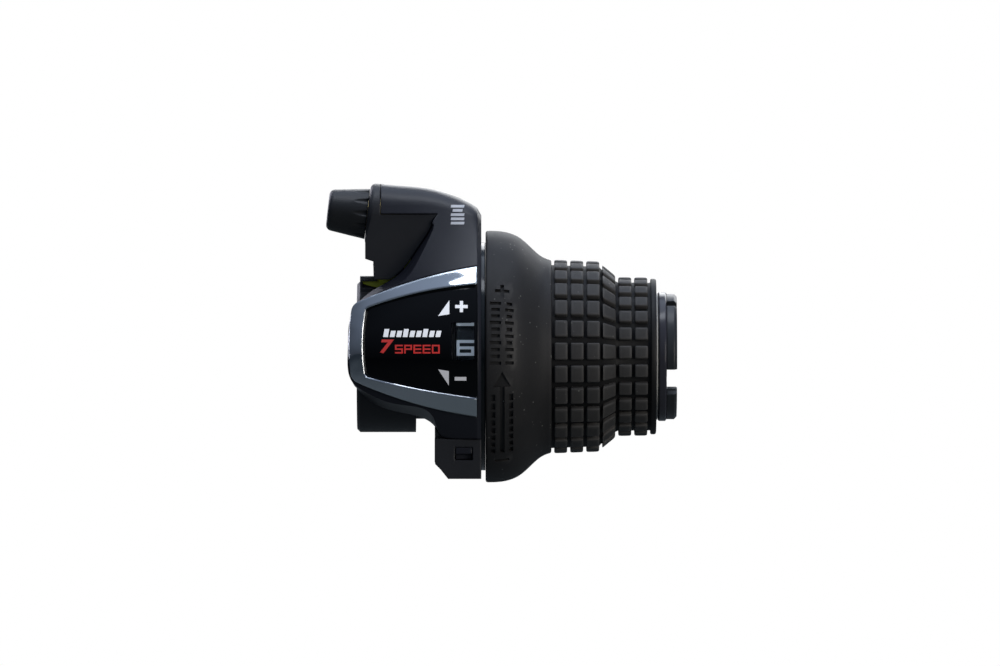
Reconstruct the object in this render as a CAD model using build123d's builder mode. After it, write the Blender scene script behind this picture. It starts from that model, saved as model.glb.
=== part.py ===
from build123d import *

import os
from math import acos, atan2, cos, degrees, radians, sin, sqrt, tan

# Right-hand twist-grip gear shifter for a 22.2 mm handlebar, with a seven-gear display.
#
# X runs along the handlebar, +X towards the outboard (grip) end. Z is up and the display faces -Y.
# The origin is on the handlebar's axis, in the middle of the clamp. Lengths are millimetres.

# ---------------------------------------------------------------- clearances
running_gap = 0.08  # round parts that turn on each other
moving_gap = 0.3  # parts of different bodies that only pass each other
seat_gap = 0.12  # fixed parts that drop into a pocket
glue_line = 0.05  # fixed parts that are seated face to face
thread_gap = 0.02  # plain stand-ins for threads

# ---------------------------------------------------------------- driving dimensions, along the bar
clamp_width = 13.2
neck_length = 4.3
drum_length = 10.4
collar_length = 14.8
block_pitch = 3.6
waist_columns = 3
slope_columns = 1
tip_columns = 2
end_lip = 2.0

# ---------------------------------------------------------------- driving dimensions, round the bar
bar_radius = 11.1  # a 22.2 mm handlebar
gear_room = 16.4  # round the bar, for the sleeve, the pipe, the spool and the dial
drum_radius = bar_radius + gear_room
collar_rise = 0.8  # of the rubber collar over the drum
tip_rubber = 3.1  # thickness of the grip's blocks and their backing at the outboard end
waist_rise = 4.0  # of the blocks beside the collar over those at the outboard end

# ---------------------------------------------------------------- clamp
clamp_bore_radius = bar_radius + 0.05
clamp_wall = 5.85
clamp_radius = clamp_bore_radius + clamp_wall
clamp_slot = 2.4
pad_height = clamp_radius + 1.1
pad_half_depth = 9.0
pad_inset = 0.7
relief_slit = 0.8
pad_round = 1.6
ear_round = 1.2
bolt_radius = 2.5
bolt_clearance = 0.25
bolt_x = 1.6
bolt_z = clamp_radius + 3.6
bolt_head_radius = 4.2
bolt_head_height = 5.0
bolt_key_radius = 2.0
bolt_key_depth = 2.8
ear_depth = 5.2
ear_left = -2.8
ear_right = 6.0
ear_top = bolt_z + 5.4
nut_flat_radius = 4.0
nut_thickness = 3.0
plate_thickness = 1.2
plate_foot_left = -5.3
plate_foot_low = clamp_radius - 1.6
plate_foot_high = plate_foot_low + 1.5

# ---------------------------------------------------------------- housing
neck_bore_radius = bar_radius + 0.6
neck_wall = 2.3
neck_radius = neck_bore_radius + neck_wall
drum_bevel = 3.3
drum_floor = 2.6
drum_wall = 1.4
cavity_radius = drum_radius - drum_wall
bay_step = 2.2
spool_bay_radius = cavity_radius - bay_step
spool_bay_length = 2.1
face_gap = 0.9  # between the housing's face and the rubber collar
edge_ease = 0.9

# ---------------------------------------------------------------- cover and display
face_rise = 2.1  # of the display's face over the drum
cover_wall = 2.6
cover_side_wall = 1.8
border_lean = 3.4  # of the cover's flanks, over border_depth
border_depth = 17.0
border_back = -14.4  # where the flanks start to lean, level with the web's front
cover_gap = 0.15  # seam between the cover and the base
cover_inner_radius = clamp_radius + 0.4
nose_overhang = 1.9  # how far the cover's nose stands past the clamp's inboard face
seam_z = -18.3  # lower edge of the cover
split_y = -7.5  # plane between the cover and the base, through the cable outlet's axis
bezel_proud = 0.55
lens_sunk = 0.15
lens_thickness = 1.35
bezel_inset = 0.95  # of the bezel's right ends from the housing's face
window_inset = 0.5  # of the number window from the bezel's right end
window_length = 5.3
window_low = -0.8
window_high = 7.6

# ---------------------------------------------------------------- cable outlet and its adjuster
outlet_radius = 7.0
outlet_x = -4.2
outlet_z = drum_radius + 4.5
outlet_tilt = 6.5
wing_inset = 3.0  # of the cover's wing from the outlet's mouth
outlet_round = 1.2
web_thickness = 3.0
knob_length = 9.0
knob_root_radius = 5.7
knob_tip_radius = 4.5
knob_gap = 0.1
knob_nose = 1.3
knob_flutes = 12
flute_radius = 0.8
flute_depth = 0.45
housing_socket_radius = 2.55  # takes the 5 mm ferrule of a cable's outer casing
housing_socket_depth = 5.2
cable_hole_radius = 0.9
adjuster_thread_radius = 3.0
adjuster_reach = 10.0  # how far the screw stands in the outlet when it is screwed right in
adjuster_head = 2.8  # how far the screw stands in the knob
insert_wall = 1.2
insert_radius = adjuster_thread_radius + insert_wall
insert_length = 9.0
detent_ring_wall = 1.8
detent_ring_radius = adjuster_thread_radius + detent_ring_wall
detent_ring_thickness = 0.9
guide_radius = 1.2
guide_bore_radius = 0.75
guide_bend = 5.0

# ---------------------------------------------------------------- latch between cover and base
boss_rise = 1.77  # of the boss's front face in front of the drum at the seam
boss_front_y = -(sqrt(drum_radius**2 - seam_z**2) + boss_rise)
boss_bevel = 3.0
latch_window_length = 4.0
latch_window_top = seam_z - 1.9
latch_window_height = 2.9
latch_inset = 1.9  # of the window's right edge from the housing's face
tongue_thickness = 1.1
tongue_gap = 0.2
barb_height = 1.4
latch_wall = 1.4

# ---------------------------------------------------------------- bar sleeve and what keeps the grip on
sleeve_bore_radius = bar_radius + 0.2
sleeve_wall = 1.1
sleeve_radius = sleeve_bore_radius + sleeve_wall
sleeve_flange = 1.3
screw_radius = 1.0
screw_head_radius = 1.7
screw_head_height = 1.0
screw_length = 5.2
screw_circle_radius = sleeve_radius + screw_head_radius + 0.2
screw_boss_radius = 2.0
screw_boss_length = 3.2
screw_angles = (0.0, 138.0, 222.0)  # up from the back
sleeve_flange_radius = screw_circle_radius + screw_head_radius
thrust_washer_thickness = 0.5
clip_length = 1.85
clip_wall = 2.1
clip_radius = sleeve_radius + clip_wall
clip_split = 2.0
end_play = 0.1
lug_length = 2.3
lug_height = 1.7
lug_radius = sleeve_radius + lug_height
lug_spans = ((-12.0, 54.0), (62.0, 118.0), (126.0, 192.0), (217.0, 323.0))  # up from the back
finger_slots = ((58.0, 1.5), (122.0, 1.5), (204.5, 4.9), (335.5, 4.9))  # angle, and width between lugs
finger_slot = 1.5
finger_length = 7.0

# ---------------------------------------------------------------- grip pipe and rubber grip
pipe_bore_radius = sleeve_radius + running_gap
pipe_hub_wall = 1.72
pipe_hub_radius = pipe_bore_radius + pipe_hub_wall
pipe_tip_wall = 2.12
pipe_tip_radius = pipe_bore_radius + pipe_tip_wall
collar_radius = drum_radius + collar_rise
collar_rubber = 3.5
collar_edge = 0.5
pipe_flange_radius = collar_radius - collar_rubber
pipe_flange = 1.8
tip_radius = pipe_tip_radius + tip_rubber
waist_radius = tip_radius + waist_rise
waist_rubber = 3.4
pipe_waist_radius = waist_radius - waist_rubber
core_inner_radius = pipe_hub_radius + 1.6
core_outer_radius = pipe_flange_radius - 3.3
core_length = 8.5
core_ribs = 6
core_rib = 2.0
ring_groove = 0.7
groove_depth = 1.1
block_rows = 26
row_groove = 1.4
row_phase = 3.3
end_lip_radius = tip_radius - 0.2

# ---------------------------------------------------------------- gear display, cable spool and detent
gears = 7
gear_shown = 6
gear_step = 15.0
dial_gap = 0.5
dial_radius = cavity_radius - dial_gap
dial_wall = 1.2
dial_disc = 1.3
tab_radius = 1.2  # of the detent spring's tab and of the post under it
spool_radius = spool_bay_radius - 2 * tab_radius - 0.5
spool_width = 1.7
spool_groove = 1.5
spool_groove_radius = spool_radius - spool_groove
spool_lip = 0.3
cable_radius = 0.6
nipple_radius = 1.6
index_drop = 1.0  # of the index ring's crests below the spool's rim
index_radius = spool_radius - index_drop
index_notch_radius = 1.3
index_width = 2.0
roller_radius = 1.2
lifted_gap = 0.15  # between the roller and the index ring's crests
spring_thickness = 0.4
spring_width = 1.6
spring_start = -72.0  # angle of the spring's screw, up from the back
spring_sweep = 46.0
post_screw_radius = 0.7
post_screw_head_radius = 1.15
post_screw_head_height = 0.7
post_screw_length = 3.4

# ---------------------------------------------------------------- cover screw and cable port
cover_screw_x_inset = 3.5
cover_screw_z = outlet_z - 0.4
cover_screw_head_radius = 1.9
cover_screw_head_height = 1.5
cover_screw_seat = 3.2  # how far the head's seat is behind the seam
cover_screw_length = 7.2
plug_hole_radius = 2.2
plug_stem_radius = plug_hole_radius - running_gap
plug_head_radius = 3.4
plug_head_height = 1.6
plug_boss_radius = 4.5
plug_boss_height = 0.8

# ---------------------------------------------------------------- stations that follow from those
clamp_left = -clamp_width / 2
clamp_right = clamp_width / 2
drum_left = clamp_right + neck_length
drum_face = drum_left + drum_length
bay_left = drum_left + drum_floor
bay_right = bay_left + spool_bay_length
nose_x = clamp_left - nose_overhang
lens_floor = lens_sunk + lens_thickness
grip_start = drum_face + face_gap
collar_end = grip_start + collar_length
slope_start = collar_end + waist_columns * block_pitch
slope_end = slope_start + slope_columns * block_pitch
blocks_end = slope_end + tip_columns * block_pitch
rubber_end = blocks_end + end_lip
pipe_start = bay_left + moving_gap
pipe_end = rubber_end - moving_gap
washer_start = pipe_end + end_play
clip_start = washer_start + thrust_washer_thickness + end_play
clip_end = clip_start + clip_length
lug_start = clip_end + end_play / 2
sleeve_end = lug_start + lug_length
spool_start = pipe_start
spool_end = spool_start + spool_width
spool_x = spool_start + spool_width / 2
index_start = spool_end + seat_gap
index_end = index_start + index_width
dial_start = bay_right + moving_gap
dial_end = grip_start

outlet_direction = Vector(-cos(radians(outlet_tilt)), 0, sin(radians(outlet_tilt)))
outlet_mouth = Vector(outlet_x, split_y, outlet_z)


# ================================================================ shapes that several pieces share
def along(x, curve):
    """Height of a curve at x, in straight lines between its (x, height) points."""
    points = sorted(curve)
    for (x0, y0), (x1, y1) in zip(points, points[1:]):
        if x <= x1:
            return y0 + (y1 - y0) * (x - x0) / (x1 - x0)
    return points[-1][1]


def face_radius(x):
    """Radius of the display's face round the bar: it rises from the nose to the drum."""
    drum_face_radius = drum_radius + face_rise
    return along(
        x,
        [
            (nose_x - 1.0, drum_face_radius - 13.1),
            (nose_x + 1.5, drum_face_radius - 9.7),
            (nose_x + 5.5, drum_face_radius - 6.7),
            (nose_x + 11.5, drum_face_radius - 4.0),
            (drum_left - 0.9, drum_face_radius - 1.8),
            (drum_left + 5.1, drum_face_radius - 0.6),
            (drum_face, drum_face_radius),
        ],
    )


def crest_height(x):
    """Height of the cable lobe's crest, which falls from the outlet towards the housing's face."""
    outlet_crest = outlet_z + outlet_radius
    return along(
        x,
        [
            (nose_x - 1.0, outlet_crest + 0.6),
            (outlet_x + 2.3, outlet_crest - 0.1),
            (drum_left, outlet_crest - 1.5),
            (drum_left + 5.4, outlet_crest - 3.3),
            (drum_left + 8.8, outlet_crest - 5.1),
            (drum_face, outlet_crest - 6.4),
        ],
    )


def lobed_section(x, body_radius, grow):
    """Across the bar at x: a circle round the bar, joined by tangents to the cable lobe's small circle."""
    big = body_radius + grow
    small = outlet_radius + grow
    lobe_z = crest_height(x) - outlet_radius
    toward = atan2(lobe_z, split_y)
    spread = acos((big - small) / sqrt(split_y**2 + lobe_z**2))
    back, front = toward - spread, toward + spread

    def on_big(angle):
        return (big * cos(angle), big * sin(angle))

    def on_small(angle):
        return (split_y + small * cos(angle), lobe_z + small * sin(angle))

    with BuildSketch(Plane.YZ.offset(x)) as across:
        with BuildLine():
            ThreePointArc(on_big(front), on_big(toward + radians(180)), on_big(back))
            Line(on_big(back), on_small(back))
            ThreePointArc(on_small(back), on_small(toward), on_small(front))
            Line(on_small(front), on_big(front))
        make_face()
    return across.sketch


def face_skin(grow=0.0):
    """The housing's skin on the display's side, grown or shrunk, with its outboard edge eased."""
    ease_start = drum_face - edge_ease
    stations = (nose_x - 1.0, nose_x + 1.5, nose_x + 5.5, nose_x + 11.5, drum_left - 0.9)
    stations += (drum_left + 3.1, drum_left + 6.6, ease_start)
    with BuildPart() as body:
        for x in stations:
            add(lobed_section(x, face_radius(x), grow))
        loft()
        add(lobed_section(ease_start, face_radius(ease_start), grow))
        add(lobed_section(drum_face, face_radius(drum_face), grow - edge_ease))
        loft(ruled=True)
    return body.part


def drum_skin():
    """The base's skin: the drum with the cable lobe on it, bevelled inboard and eased outboard."""
    bevel_end = drum_left + drum_bevel
    ease_start = drum_face - edge_ease
    with BuildPart() as body:
        add(lobed_section(drum_left, drum_radius, -drum_bevel))
        add(lobed_section(bevel_end, drum_radius, 0))
        loft(ruled=True)
        for x in (bevel_end, drum_left + 6.6, ease_start):
            add(lobed_section(x, drum_radius, 0))
        loft()
        add(lobed_section(ease_start, drum_radius, 0))
        add(lobed_section(drum_face, drum_radius, -edge_ease))
        loft(ruled=True)
    return body.part


def turned(points):
    """A ring turned about the bar's axis from its (x, radius) corners."""
    with BuildPart() as body:
        with BuildSketch(Plane.XY):
            with BuildLine():
                Polyline(*points, close=True)
            make_face()
        revolve(axis=Axis.X)
    return body.part


def tube(start, end, outer, inner):
    """A plain ring round the bar."""
    return turned([(start, inner), (end, inner), (end, outer), (start, outer)])


def rod(start, direction, radius, length):
    """A round rod that starts at a point and runs along a direction."""
    with BuildPart() as body:
        with BuildSketch(Plane(origin=start, z_dir=direction)):
            Circle(radius)
        extrude(amount=length)
    return body.part


def block(x_range, y_range, z_range):
    """A block between two values along each axis."""
    ranges = (x_range, y_range, z_range)
    with BuildPart() as body:
        with Locations(tuple((low + high) / 2 for low, high in ranges)):
            Box(*(high - low for low, high in ranges))
    return body.part


def forward_prism(outline, back_y=0.0):
    """A front outline pushed forward from the plane at back_y, past the display's face."""
    with BuildPart() as prism:
        extrude(outline.moved(Location((0, back_y, 0))), amount=60, dir=(0, -1, 0))
    return prism.part


def around(radius, angle, x=0.0):
    """The point at a radius and an angle round the bar, the angle counted up from the back (+Y)."""
    return Vector(x, radius * cos(radians(angle)), radius * sin(radians(angle)))


def cover_outline(grow=0.0, lean=0.0):
    """The cover from the front: the display's border, the flank, and the wing over the cable outlet.

    lean draws the flanks in, but leaves the nose where it is.
    """
    left = nose_x - grow
    seam = seam_z - grow
    low = seam + lean
    high = seam_z + grow - lean
    flank = drum_left - grow + lean
    wing_left = outlet_x + wing_inset - grow
    wing_low = outlet_z - grow
    above = outlet_z + 2 * outlet_radius
    with BuildSketch(Plane.XZ) as outline:
        with BuildLine():
            Line((drum_face + 1, seam), (drum_left + 3.1, seam))
            Spline(
                (drum_left + 3.1, seam),
                (drum_left + 0.2, low + 2.4),
                (left + 10.9, low + 6.0),
                (left + 3.7, low + 9.2),
                (left + 0.5, low + 13.6 - lean),
                (left, seam_z + 20.9),
                (left + 1.1, high + 28.6 + lean),
                (left + 5.0, high + 32.8),
                (flank - 8.5, high + 36.4),
                (flank - 4.0, high + 42.0),
                (flank - 0.6, outlet_z - 2.4),
                (flank + 0.7, wing_low),
                tangents=((-1, 0), (1, 1.2)),
            )
            Polyline(
                (flank + 0.7, wing_low),
                (wing_left, wing_low),
                (wing_left, above),
                (drum_face + 1, above),
                (drum_face + 1, seam),
            )
        make_face()
    return outline.sketch


def leaning_prism(back_y):
    """The cover's outline pushed forward from the plane at back_y, with its flanks drawn in on the way."""
    with BuildPart() as prism:
        add(cover_outline().moved(Location((0, back_y, 0))))
        extrude(amount=back_y - border_back, dir=(0, -1, 0))
        add(cover_outline().moved(Location((0, border_back, 0))))
        add(cover_outline(0, border_lean).moved(Location((0, border_back - border_depth, 0))))
        loft(ruled=True)
    return prism.part


def leaf(grow, nose, top, bottom, corner):
    """The display's leaf: two bowed sides that run from their right ends to a blunt nose.

    top and bottom each give the height at the right end, the height at the nose, and the bow.
    """
    right = drum_face - bezel_inset + grow
    left = nose_x + nose - grow
    top_right, top_left, top_bow = top[0] + grow, top[1] + grow, top[2]
    low_right, low_left, low_bow = bottom[0] - grow, bottom[1] - grow, bottom[2]
    middle = (left + right) / 2
    with BuildSketch(Plane.XZ) as shape:
        with BuildLine():
            ThreePointArc(
                (right, top_right), (middle, (top_right + top_left) / 2 + top_bow), (left + 0.8, top_left)
            )
            ThreePointArc(
                (left + 0.8, top_left), (left, (top_left + low_left) / 2), (left + 0.6, low_left)
            )
            ThreePointArc(
                (left + 0.6, low_left), (middle, (low_left + low_right) / 2 + low_bow), (right, low_right)
            )
            Line((right, low_right), (right, top_right))
        make_face()
        fillet(shape.vertices().sort_by(Axis.X)[:2], corner)
    return shape.sketch


def bezel_outline(grow=0.0):
    """Outer edge of the chrome bezel."""
    return leaf(grow, 0.15, (20.2, 11.7, 0.9), (-13.4, -5.2, -1.0), 2.6)


def lens_outline(grow=0.0):
    """Outer edge of the lens, which is the bezel's inner edge less a gap."""
    return leaf(grow, 3.4, (16.1, 10.7, 0.85), (-9.1, -4.3, -0.4), 1.2)


def cable_path():
    """From the spool's rim up into the lobe, and round into the outlet's bore."""
    groove = spool_groove_radius + cable_radius
    corner_z = outlet_z - tan(radians(outlet_tilt)) * (spool_x - outlet_x)
    corner = Vector(spool_x, split_y, corner_z)
    reach = sqrt(split_y**2 + corner_z**2)
    toward = degrees(atan2(corner_z, split_y)) + degrees(acos(groove / reach))
    leaves = around(groove, toward, spool_x)
    start = corner + (leaves - corner).normalized() * (guide_bend + 0.6)
    end = outlet_mouth - outlet_direction * (adjuster_reach + 1.0)
    return leaves, start, corner, end


def guide_sweep(radius, start):
    """A round bar along the cable's path, from a start point to the outlet's bore."""
    leaves, _, corner, end = cable_path()
    with BuildPart() as bar:
        with BuildLine() as route:
            FilletPolyline(start, corner, end, radius=guide_bend)
        with BuildSketch(Plane(origin=start, z_dir=corner - start)):
            Circle(radius)
        sweep(path=route.line)
    return bar.part


os.makedirs("parts", exist_ok=True)

# ================================================================ tools that shape base and cover
face = face_skin()
face_seat = face_skin(glue_line - lens_floor)
bezel_pocket = forward_prism(bezel_outline(seat_gap)) - face_skin(-lens_floor)
cover_inner = turned(
    [
        (nose_x - 2, 0),
        (nose_x - 2, bar_radius + 1.5),
        (clamp_left - moving_gap, bar_radius + 1.5),
        (clamp_left - moving_gap, cover_inner_radius),
        (bay_left, cover_inner_radius),
        (bay_left, 0),
    ]
)
cover_space = forward_prism(cover_outline(cover_gap), split_y + cover_gap) - tube(
    clamp_left - moving_gap, bay_left, cover_inner_radius - cover_gap, 0
)
leaves_spool, guide_start = cable_path()[:2]
guide_channel = guide_sweep(guide_radius + seat_gap, guide_start)
cable_slot = rod(guide_start, leaves_spool - guide_start, guide_radius, (leaves_spool - guide_start).length)
gear_cavity = turned(
    [
        (bay_left, 0),
        (bay_left, spool_bay_radius),
        (bay_right, spool_bay_radius),
        (bay_right, cavity_radius),
        (drum_face + 1, cavity_radius),
        (drum_face + 1, 0),
    ]
)
latch_right = drum_face - latch_inset
latch_left = latch_right - latch_window_length
latch_low = latch_window_top - latch_window_height
tongue_front = boss_front_y + latch_wall
tongue_back = tongue_front + tongue_thickness
cover_screw_x = drum_face - cover_screw_x_inset
cover_screw_y = split_y + cover_screw_seat
ear_face = clamp_slot / 2 + ear_depth
plate_front = -ear_face - plate_thickness
plug_seat = drum_radius + plug_boss_height
spring_inner = index_radius + lifted_gap + 2 * roller_radius + glue_line
spring_outer = spring_inner + spring_thickness
spring_screw = around(spool_radius + moving_gap + tab_radius, spring_start)


def plate_outline(grow=0.0):
    """The clamp's nut plate seen from the front: a broad rounded foot and a narrower upper part."""
    with BuildSketch(Plane.XZ) as outline:
        with BuildLine():
            Polyline(
                (plate_foot_left - grow, plate_foot_high - 0.5),
                (plate_foot_left - grow, plate_foot_high + grow),
                (ear_left + 0.3 - grow, plate_foot_high + grow),
                (ear_left + 0.3 - grow, ear_top - 0.9 + grow),
                (ear_right - 0.3 + grow, ear_top - 0.9 + grow),
                (ear_right - 0.3 + grow, plate_foot_high - 0.5),
            )
            ThreePointArc(
                (ear_right - 0.3 + grow, plate_foot_high - 0.5),
                ((ear_right + plate_foot_left) / 2, plate_foot_low - grow),
                (plate_foot_left - grow, plate_foot_high - 0.5),
            )
        make_face()
    return outline.sketch


def slab(outline, front, back):
    """A flat outline made solid between two depths."""
    with BuildPart() as plate:
        extrude(outline.moved(Location((0, back, 0))), amount=back - front, dir=(0, -1, 0))
    return plate.part


nut_pocket = rod(
    (bolt_x, -ear_face, bolt_z),
    (0, -1, 0),
    nut_flat_radius / cos(radians(30)) + moving_gap,
    plate_thickness + nut_thickness + 0.6,
)
plate_pocket = slab(plate_outline(seat_gap), plate_front - seat_gap, -ear_face)

outlet_bore = rod(outlet_mouth, -outlet_direction, insert_radius + glue_line, insert_length + glue_line)
screw_bore = rod(outlet_mouth, -outlet_direction, adjuster_thread_radius + 0.2, adjuster_reach + 1.2)
with BuildPart() as horn_body:
    add(rod(outlet_mouth, -outlet_direction, outlet_radius, drum_left + drum_bevel - outlet_x))
    fillet(horn_body.edges().filter_by(GeomType.CIRCLE).sort_by(Axis.X)[0], outlet_round)
horn = horn_body.part

# ================================================================ base housing
with BuildPart() as base_housing:
    add(
        turned(
            [
                (clamp_left, clamp_bore_radius),
                (clamp_left, clamp_radius - pad_inset),
                (clamp_left + pad_inset, clamp_radius),
                (clamp_right, clamp_radius),
                (clamp_right, neck_radius),
                (drum_left, neck_radius),
                (drum_left, cover_inner_radius - moving_gap),
                (bay_left, cover_inner_radius - moving_gap),
                (bay_left, neck_bore_radius),
                (clamp_right, neck_bore_radius),
                (clamp_right, clamp_bore_radius),
            ]
        )
    )
    add(drum_skin())
    # The cable outlet is a horn that runs from its mouth into the lobe.
    add(horn & face)
    # A web hangs from the horn in front of the clamp bolt.
    with BuildSketch(Plane.XZ.offset(-split_y + outlet_radius - web_thickness)):
        with BuildLine():
            Polyline(
                (outlet_x + 1, outlet_z),
                (ear_left - 1.9, outlet_z - outlet_radius + 1),
                (ear_left - 1.9, ear_top - 4.1),
                (ear_left - 0.1, ear_top - 4.7),
                (ear_left, pad_height - 0.8),
                (drum_left + 1, pad_height - 0.8),
                (drum_left + 1, outlet_z),
                close=True,
            )
        make_face()
    extrude(amount=web_thickness)
    # Two pads and two ears stand on the clamp, on either side of its slot.
    pads = block((clamp_left + pad_inset, clamp_right), (-pad_half_depth, pad_half_depth), (0, pad_height))
    ears = block((ear_left, ear_right), (-ear_face, ear_face), (0, ear_top))
    add(pads.fillet(pad_round, pads.edges().filter_by(Axis.X).group_by(Axis.Z)[-1]))
    add(ears.fillet(ear_round, ears.edges().group_by(Axis.Z)[-1]))
    # The latch boss stands in front of the drum, under the cover's lower edge.
    with BuildSketch(Plane.XZ.offset(-boss_front_y)):
        with BuildLine():
            Polyline(
                (drum_left, seam_z),
                (drum_face, seam_z),
                (drum_face, -drum_radius + 0.2),
                (drum_left + boss_bevel, -drum_radius + 0.2),
                (drum_left, -drum_radius + boss_bevel + 1),
                close=True,
            )
        make_face()
    extrude(amount=boss_front_y)
    for angle in screw_angles:
        start = around(screw_circle_radius, angle, drum_left - screw_boss_length)
        add(rod(start, (1, 0, 0), screw_boss_radius, screw_boss_length))
    add(rod((spool_x, 0, 0), (0, 1, 0), plug_boss_radius, plug_seat))

    add(tube(clamp_left - 1, clamp_right, clamp_bore_radius, 0), mode=Mode.SUBTRACT)
    add(tube(clamp_right, drum_face + 1, neck_bore_radius, 0), mode=Mode.SUBTRACT)
    add(gear_cavity, mode=Mode.SUBTRACT)
    add(cover_space, mode=Mode.SUBTRACT)
    flange_left = bay_left - sleeve_flange - glue_line
    add(tube(flange_left, drum_face, sleeve_flange_radius + seat_gap, 0), mode=Mode.SUBTRACT)
    # The clamp's slot, and a slit that lets its rear half flex.
    slot_half = clamp_slot / 2
    slot_cut = block((clamp_left - 1, clamp_right), (-slot_half, slot_half), (0, ear_top + 0.3))
    add(slot_cut, mode=Mode.SUBTRACT)
    add(
        block(
            (clamp_right, clamp_right + relief_slit),
            (-slot_half, clamp_radius + 1),
            (relief_slit, clamp_radius + 1),
        ),
        mode=Mode.SUBTRACT,
    )
    # The clamp bolt's hole, its head's and nut's pockets, and the nut plate's slot and window.
    bolt_line = Vector(bolt_x, -2 * ear_face, bolt_z)
    add(rod(bolt_line, (0, 1, 0), bolt_radius + bolt_clearance, 4 * ear_face), mode=Mode.SUBTRACT)
    add(
        rod((bolt_x, ear_face, bolt_z), (0, 1, 0), bolt_head_radius + moving_gap, bolt_head_height),
        mode=Mode.SUBTRACT,
    )
    add(nut_pocket, mode=Mode.SUBTRACT)
    add(plate_pocket, mode=Mode.SUBTRACT)
    add(
        block(
            (plate_foot_left, ear_right),
            (-pad_half_depth - 1, plate_front),
            (plate_foot_low, plate_foot_high),
        ),
        mode=Mode.SUBTRACT,
    )
    # The outlet's bores, the guide's channel and the cable's slot.
    add(outlet_bore, mode=Mode.SUBTRACT)
    add(screw_bore, mode=Mode.SUBTRACT)
    add(guide_channel, mode=Mode.SUBTRACT)
    add(cable_slot, mode=Mode.SUBTRACT)
    # The latch's window in the boss's front wall, and the tongue's slot behind it.
    add(
        block(
            (latch_left, latch_right), (boss_front_y - 1, tongue_front), (latch_low, latch_window_top)
        ),
        mode=Mode.SUBTRACT,
    )
    add(
        block(
            (latch_left, latch_right),
            (tongue_front - glue_line, tongue_back + tongue_gap),
            (latch_low, seam_z + 1),
        ),
        mode=Mode.SUBTRACT,
    )
    # Screw holes, the cable port and the detent spring's post.
    for angle in screw_angles:
        start = around(screw_circle_radius, angle, bay_left - screw_length - 0.3)
        add(rod(start, (1, 0, 0), screw_radius + thread_gap, screw_length), mode=Mode.SUBTRACT)
    screw_line = Vector(cover_screw_x, cover_screw_y, cover_screw_z)
    add(rod(screw_line, (0, -1, 0), screw_radius + thread_gap, cover_screw_length), mode=Mode.SUBTRACT)
    add(
        rod(screw_line, (0, 1, 0), cover_screw_head_radius + seat_gap, outlet_radius), mode=Mode.SUBTRACT
    )
    add(rod((spool_x, cavity_radius - 3, 0), (0, 1, 0), plug_hole_radius, drum_radius), mode=Mode.SUBTRACT)
    add(rod(spring_screw + Vector(bay_left, 0, 0), (1, 0, 0), tab_radius, spool_bay_length))
    post_top = spring_screw + Vector(bay_right, 0, 0)
    post_bore = post_screw_radius + thread_gap
    add(rod(post_top, (-1, 0, 0), post_bore, post_screw_length), mode=Mode.SUBTRACT)
base_housing.part.label = "base_housing"
export_step(base_housing.part, "parts/base_housing.step")

# ================================================================ top cover
hollow_outline = cover_outline(-cover_side_wall, border_lean / 2)
cover_hollow = face_skin(-cover_wall) & forward_prism(hollow_outline, split_y + 1)
with BuildPart() as top_cover:
    add(face)
    add(leaning_prism(split_y), mode=Mode.INTERSECT)
    add(cover_inner, mode=Mode.SUBTRACT)
    add(gear_cavity, mode=Mode.SUBTRACT)
    beside_drum = (nose_x - 2, drum_left + 0.6)
    split_hollow = block(beside_drum, (-2 * drum_radius, 0), (-drum_radius, 2 * drum_radius))
    add(cover_hollow & split_hollow, mode=Mode.SUBTRACT)
    add(bezel_pocket, mode=Mode.SUBTRACT)
    window_right = drum_face - bezel_inset - window_inset
    add(
        block(
            (window_right - window_length, window_right), (-2 * drum_radius, 0), (window_low, window_high)
        ),
        mode=Mode.SUBTRACT,
    )
    add(nut_pocket, mode=Mode.SUBTRACT)
    add(plate_pocket, mode=Mode.SUBTRACT)
    # The tongue that hooks into the base's latch window.
    add(
        block(
            (latch_left + tongue_gap, latch_right - tongue_gap),
            (tongue_front, tongue_back),
            (latch_low + tongue_gap, seam_z + 1),
        )
    )
    add(
        block(
            (latch_left + tongue_gap, latch_right - tongue_gap),
            (boss_front_y + 0.1, tongue_front),
            (latch_window_top - 0.1 - barb_height, latch_window_top - 0.1),
        )
    )
    add(outlet_bore, mode=Mode.SUBTRACT)
    add(screw_bore, mode=Mode.SUBTRACT)
    add(guide_channel, mode=Mode.SUBTRACT)
    add(cable_slot, mode=Mode.SUBTRACT)
    add(rod(screw_line, (0, -1, 0), screw_radius + thread_gap, cover_screw_length), mode=Mode.SUBTRACT)
top_cover.part.label = "top_cover"
export_step(top_cover.part, "parts/top_cover.step")

# ================================================================ chrome bezel
with BuildPart() as chrome_bezel:
    add(face_skin(bezel_proud))
    add(forward_prism(bezel_outline()), mode=Mode.INTERSECT)
    add(forward_prism(lens_outline(seat_gap)), mode=Mode.SUBTRACT)
    add(face_seat, mode=Mode.SUBTRACT)
chrome_bezel.part.label = "chrome_bezel"
export_step(chrome_bezel.part, "parts/chrome_bezel.step")

# ================================================================ display lens
with BuildPart() as display_lens:
    add(face_skin(-lens_sunk))
    add(forward_prism(lens_outline()), mode=Mode.INTERSECT)
    add(face_seat, mode=Mode.SUBTRACT)
display_lens.part.label = "display_lens"
export_step(display_lens.part, "parts/display_lens.step")

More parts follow.
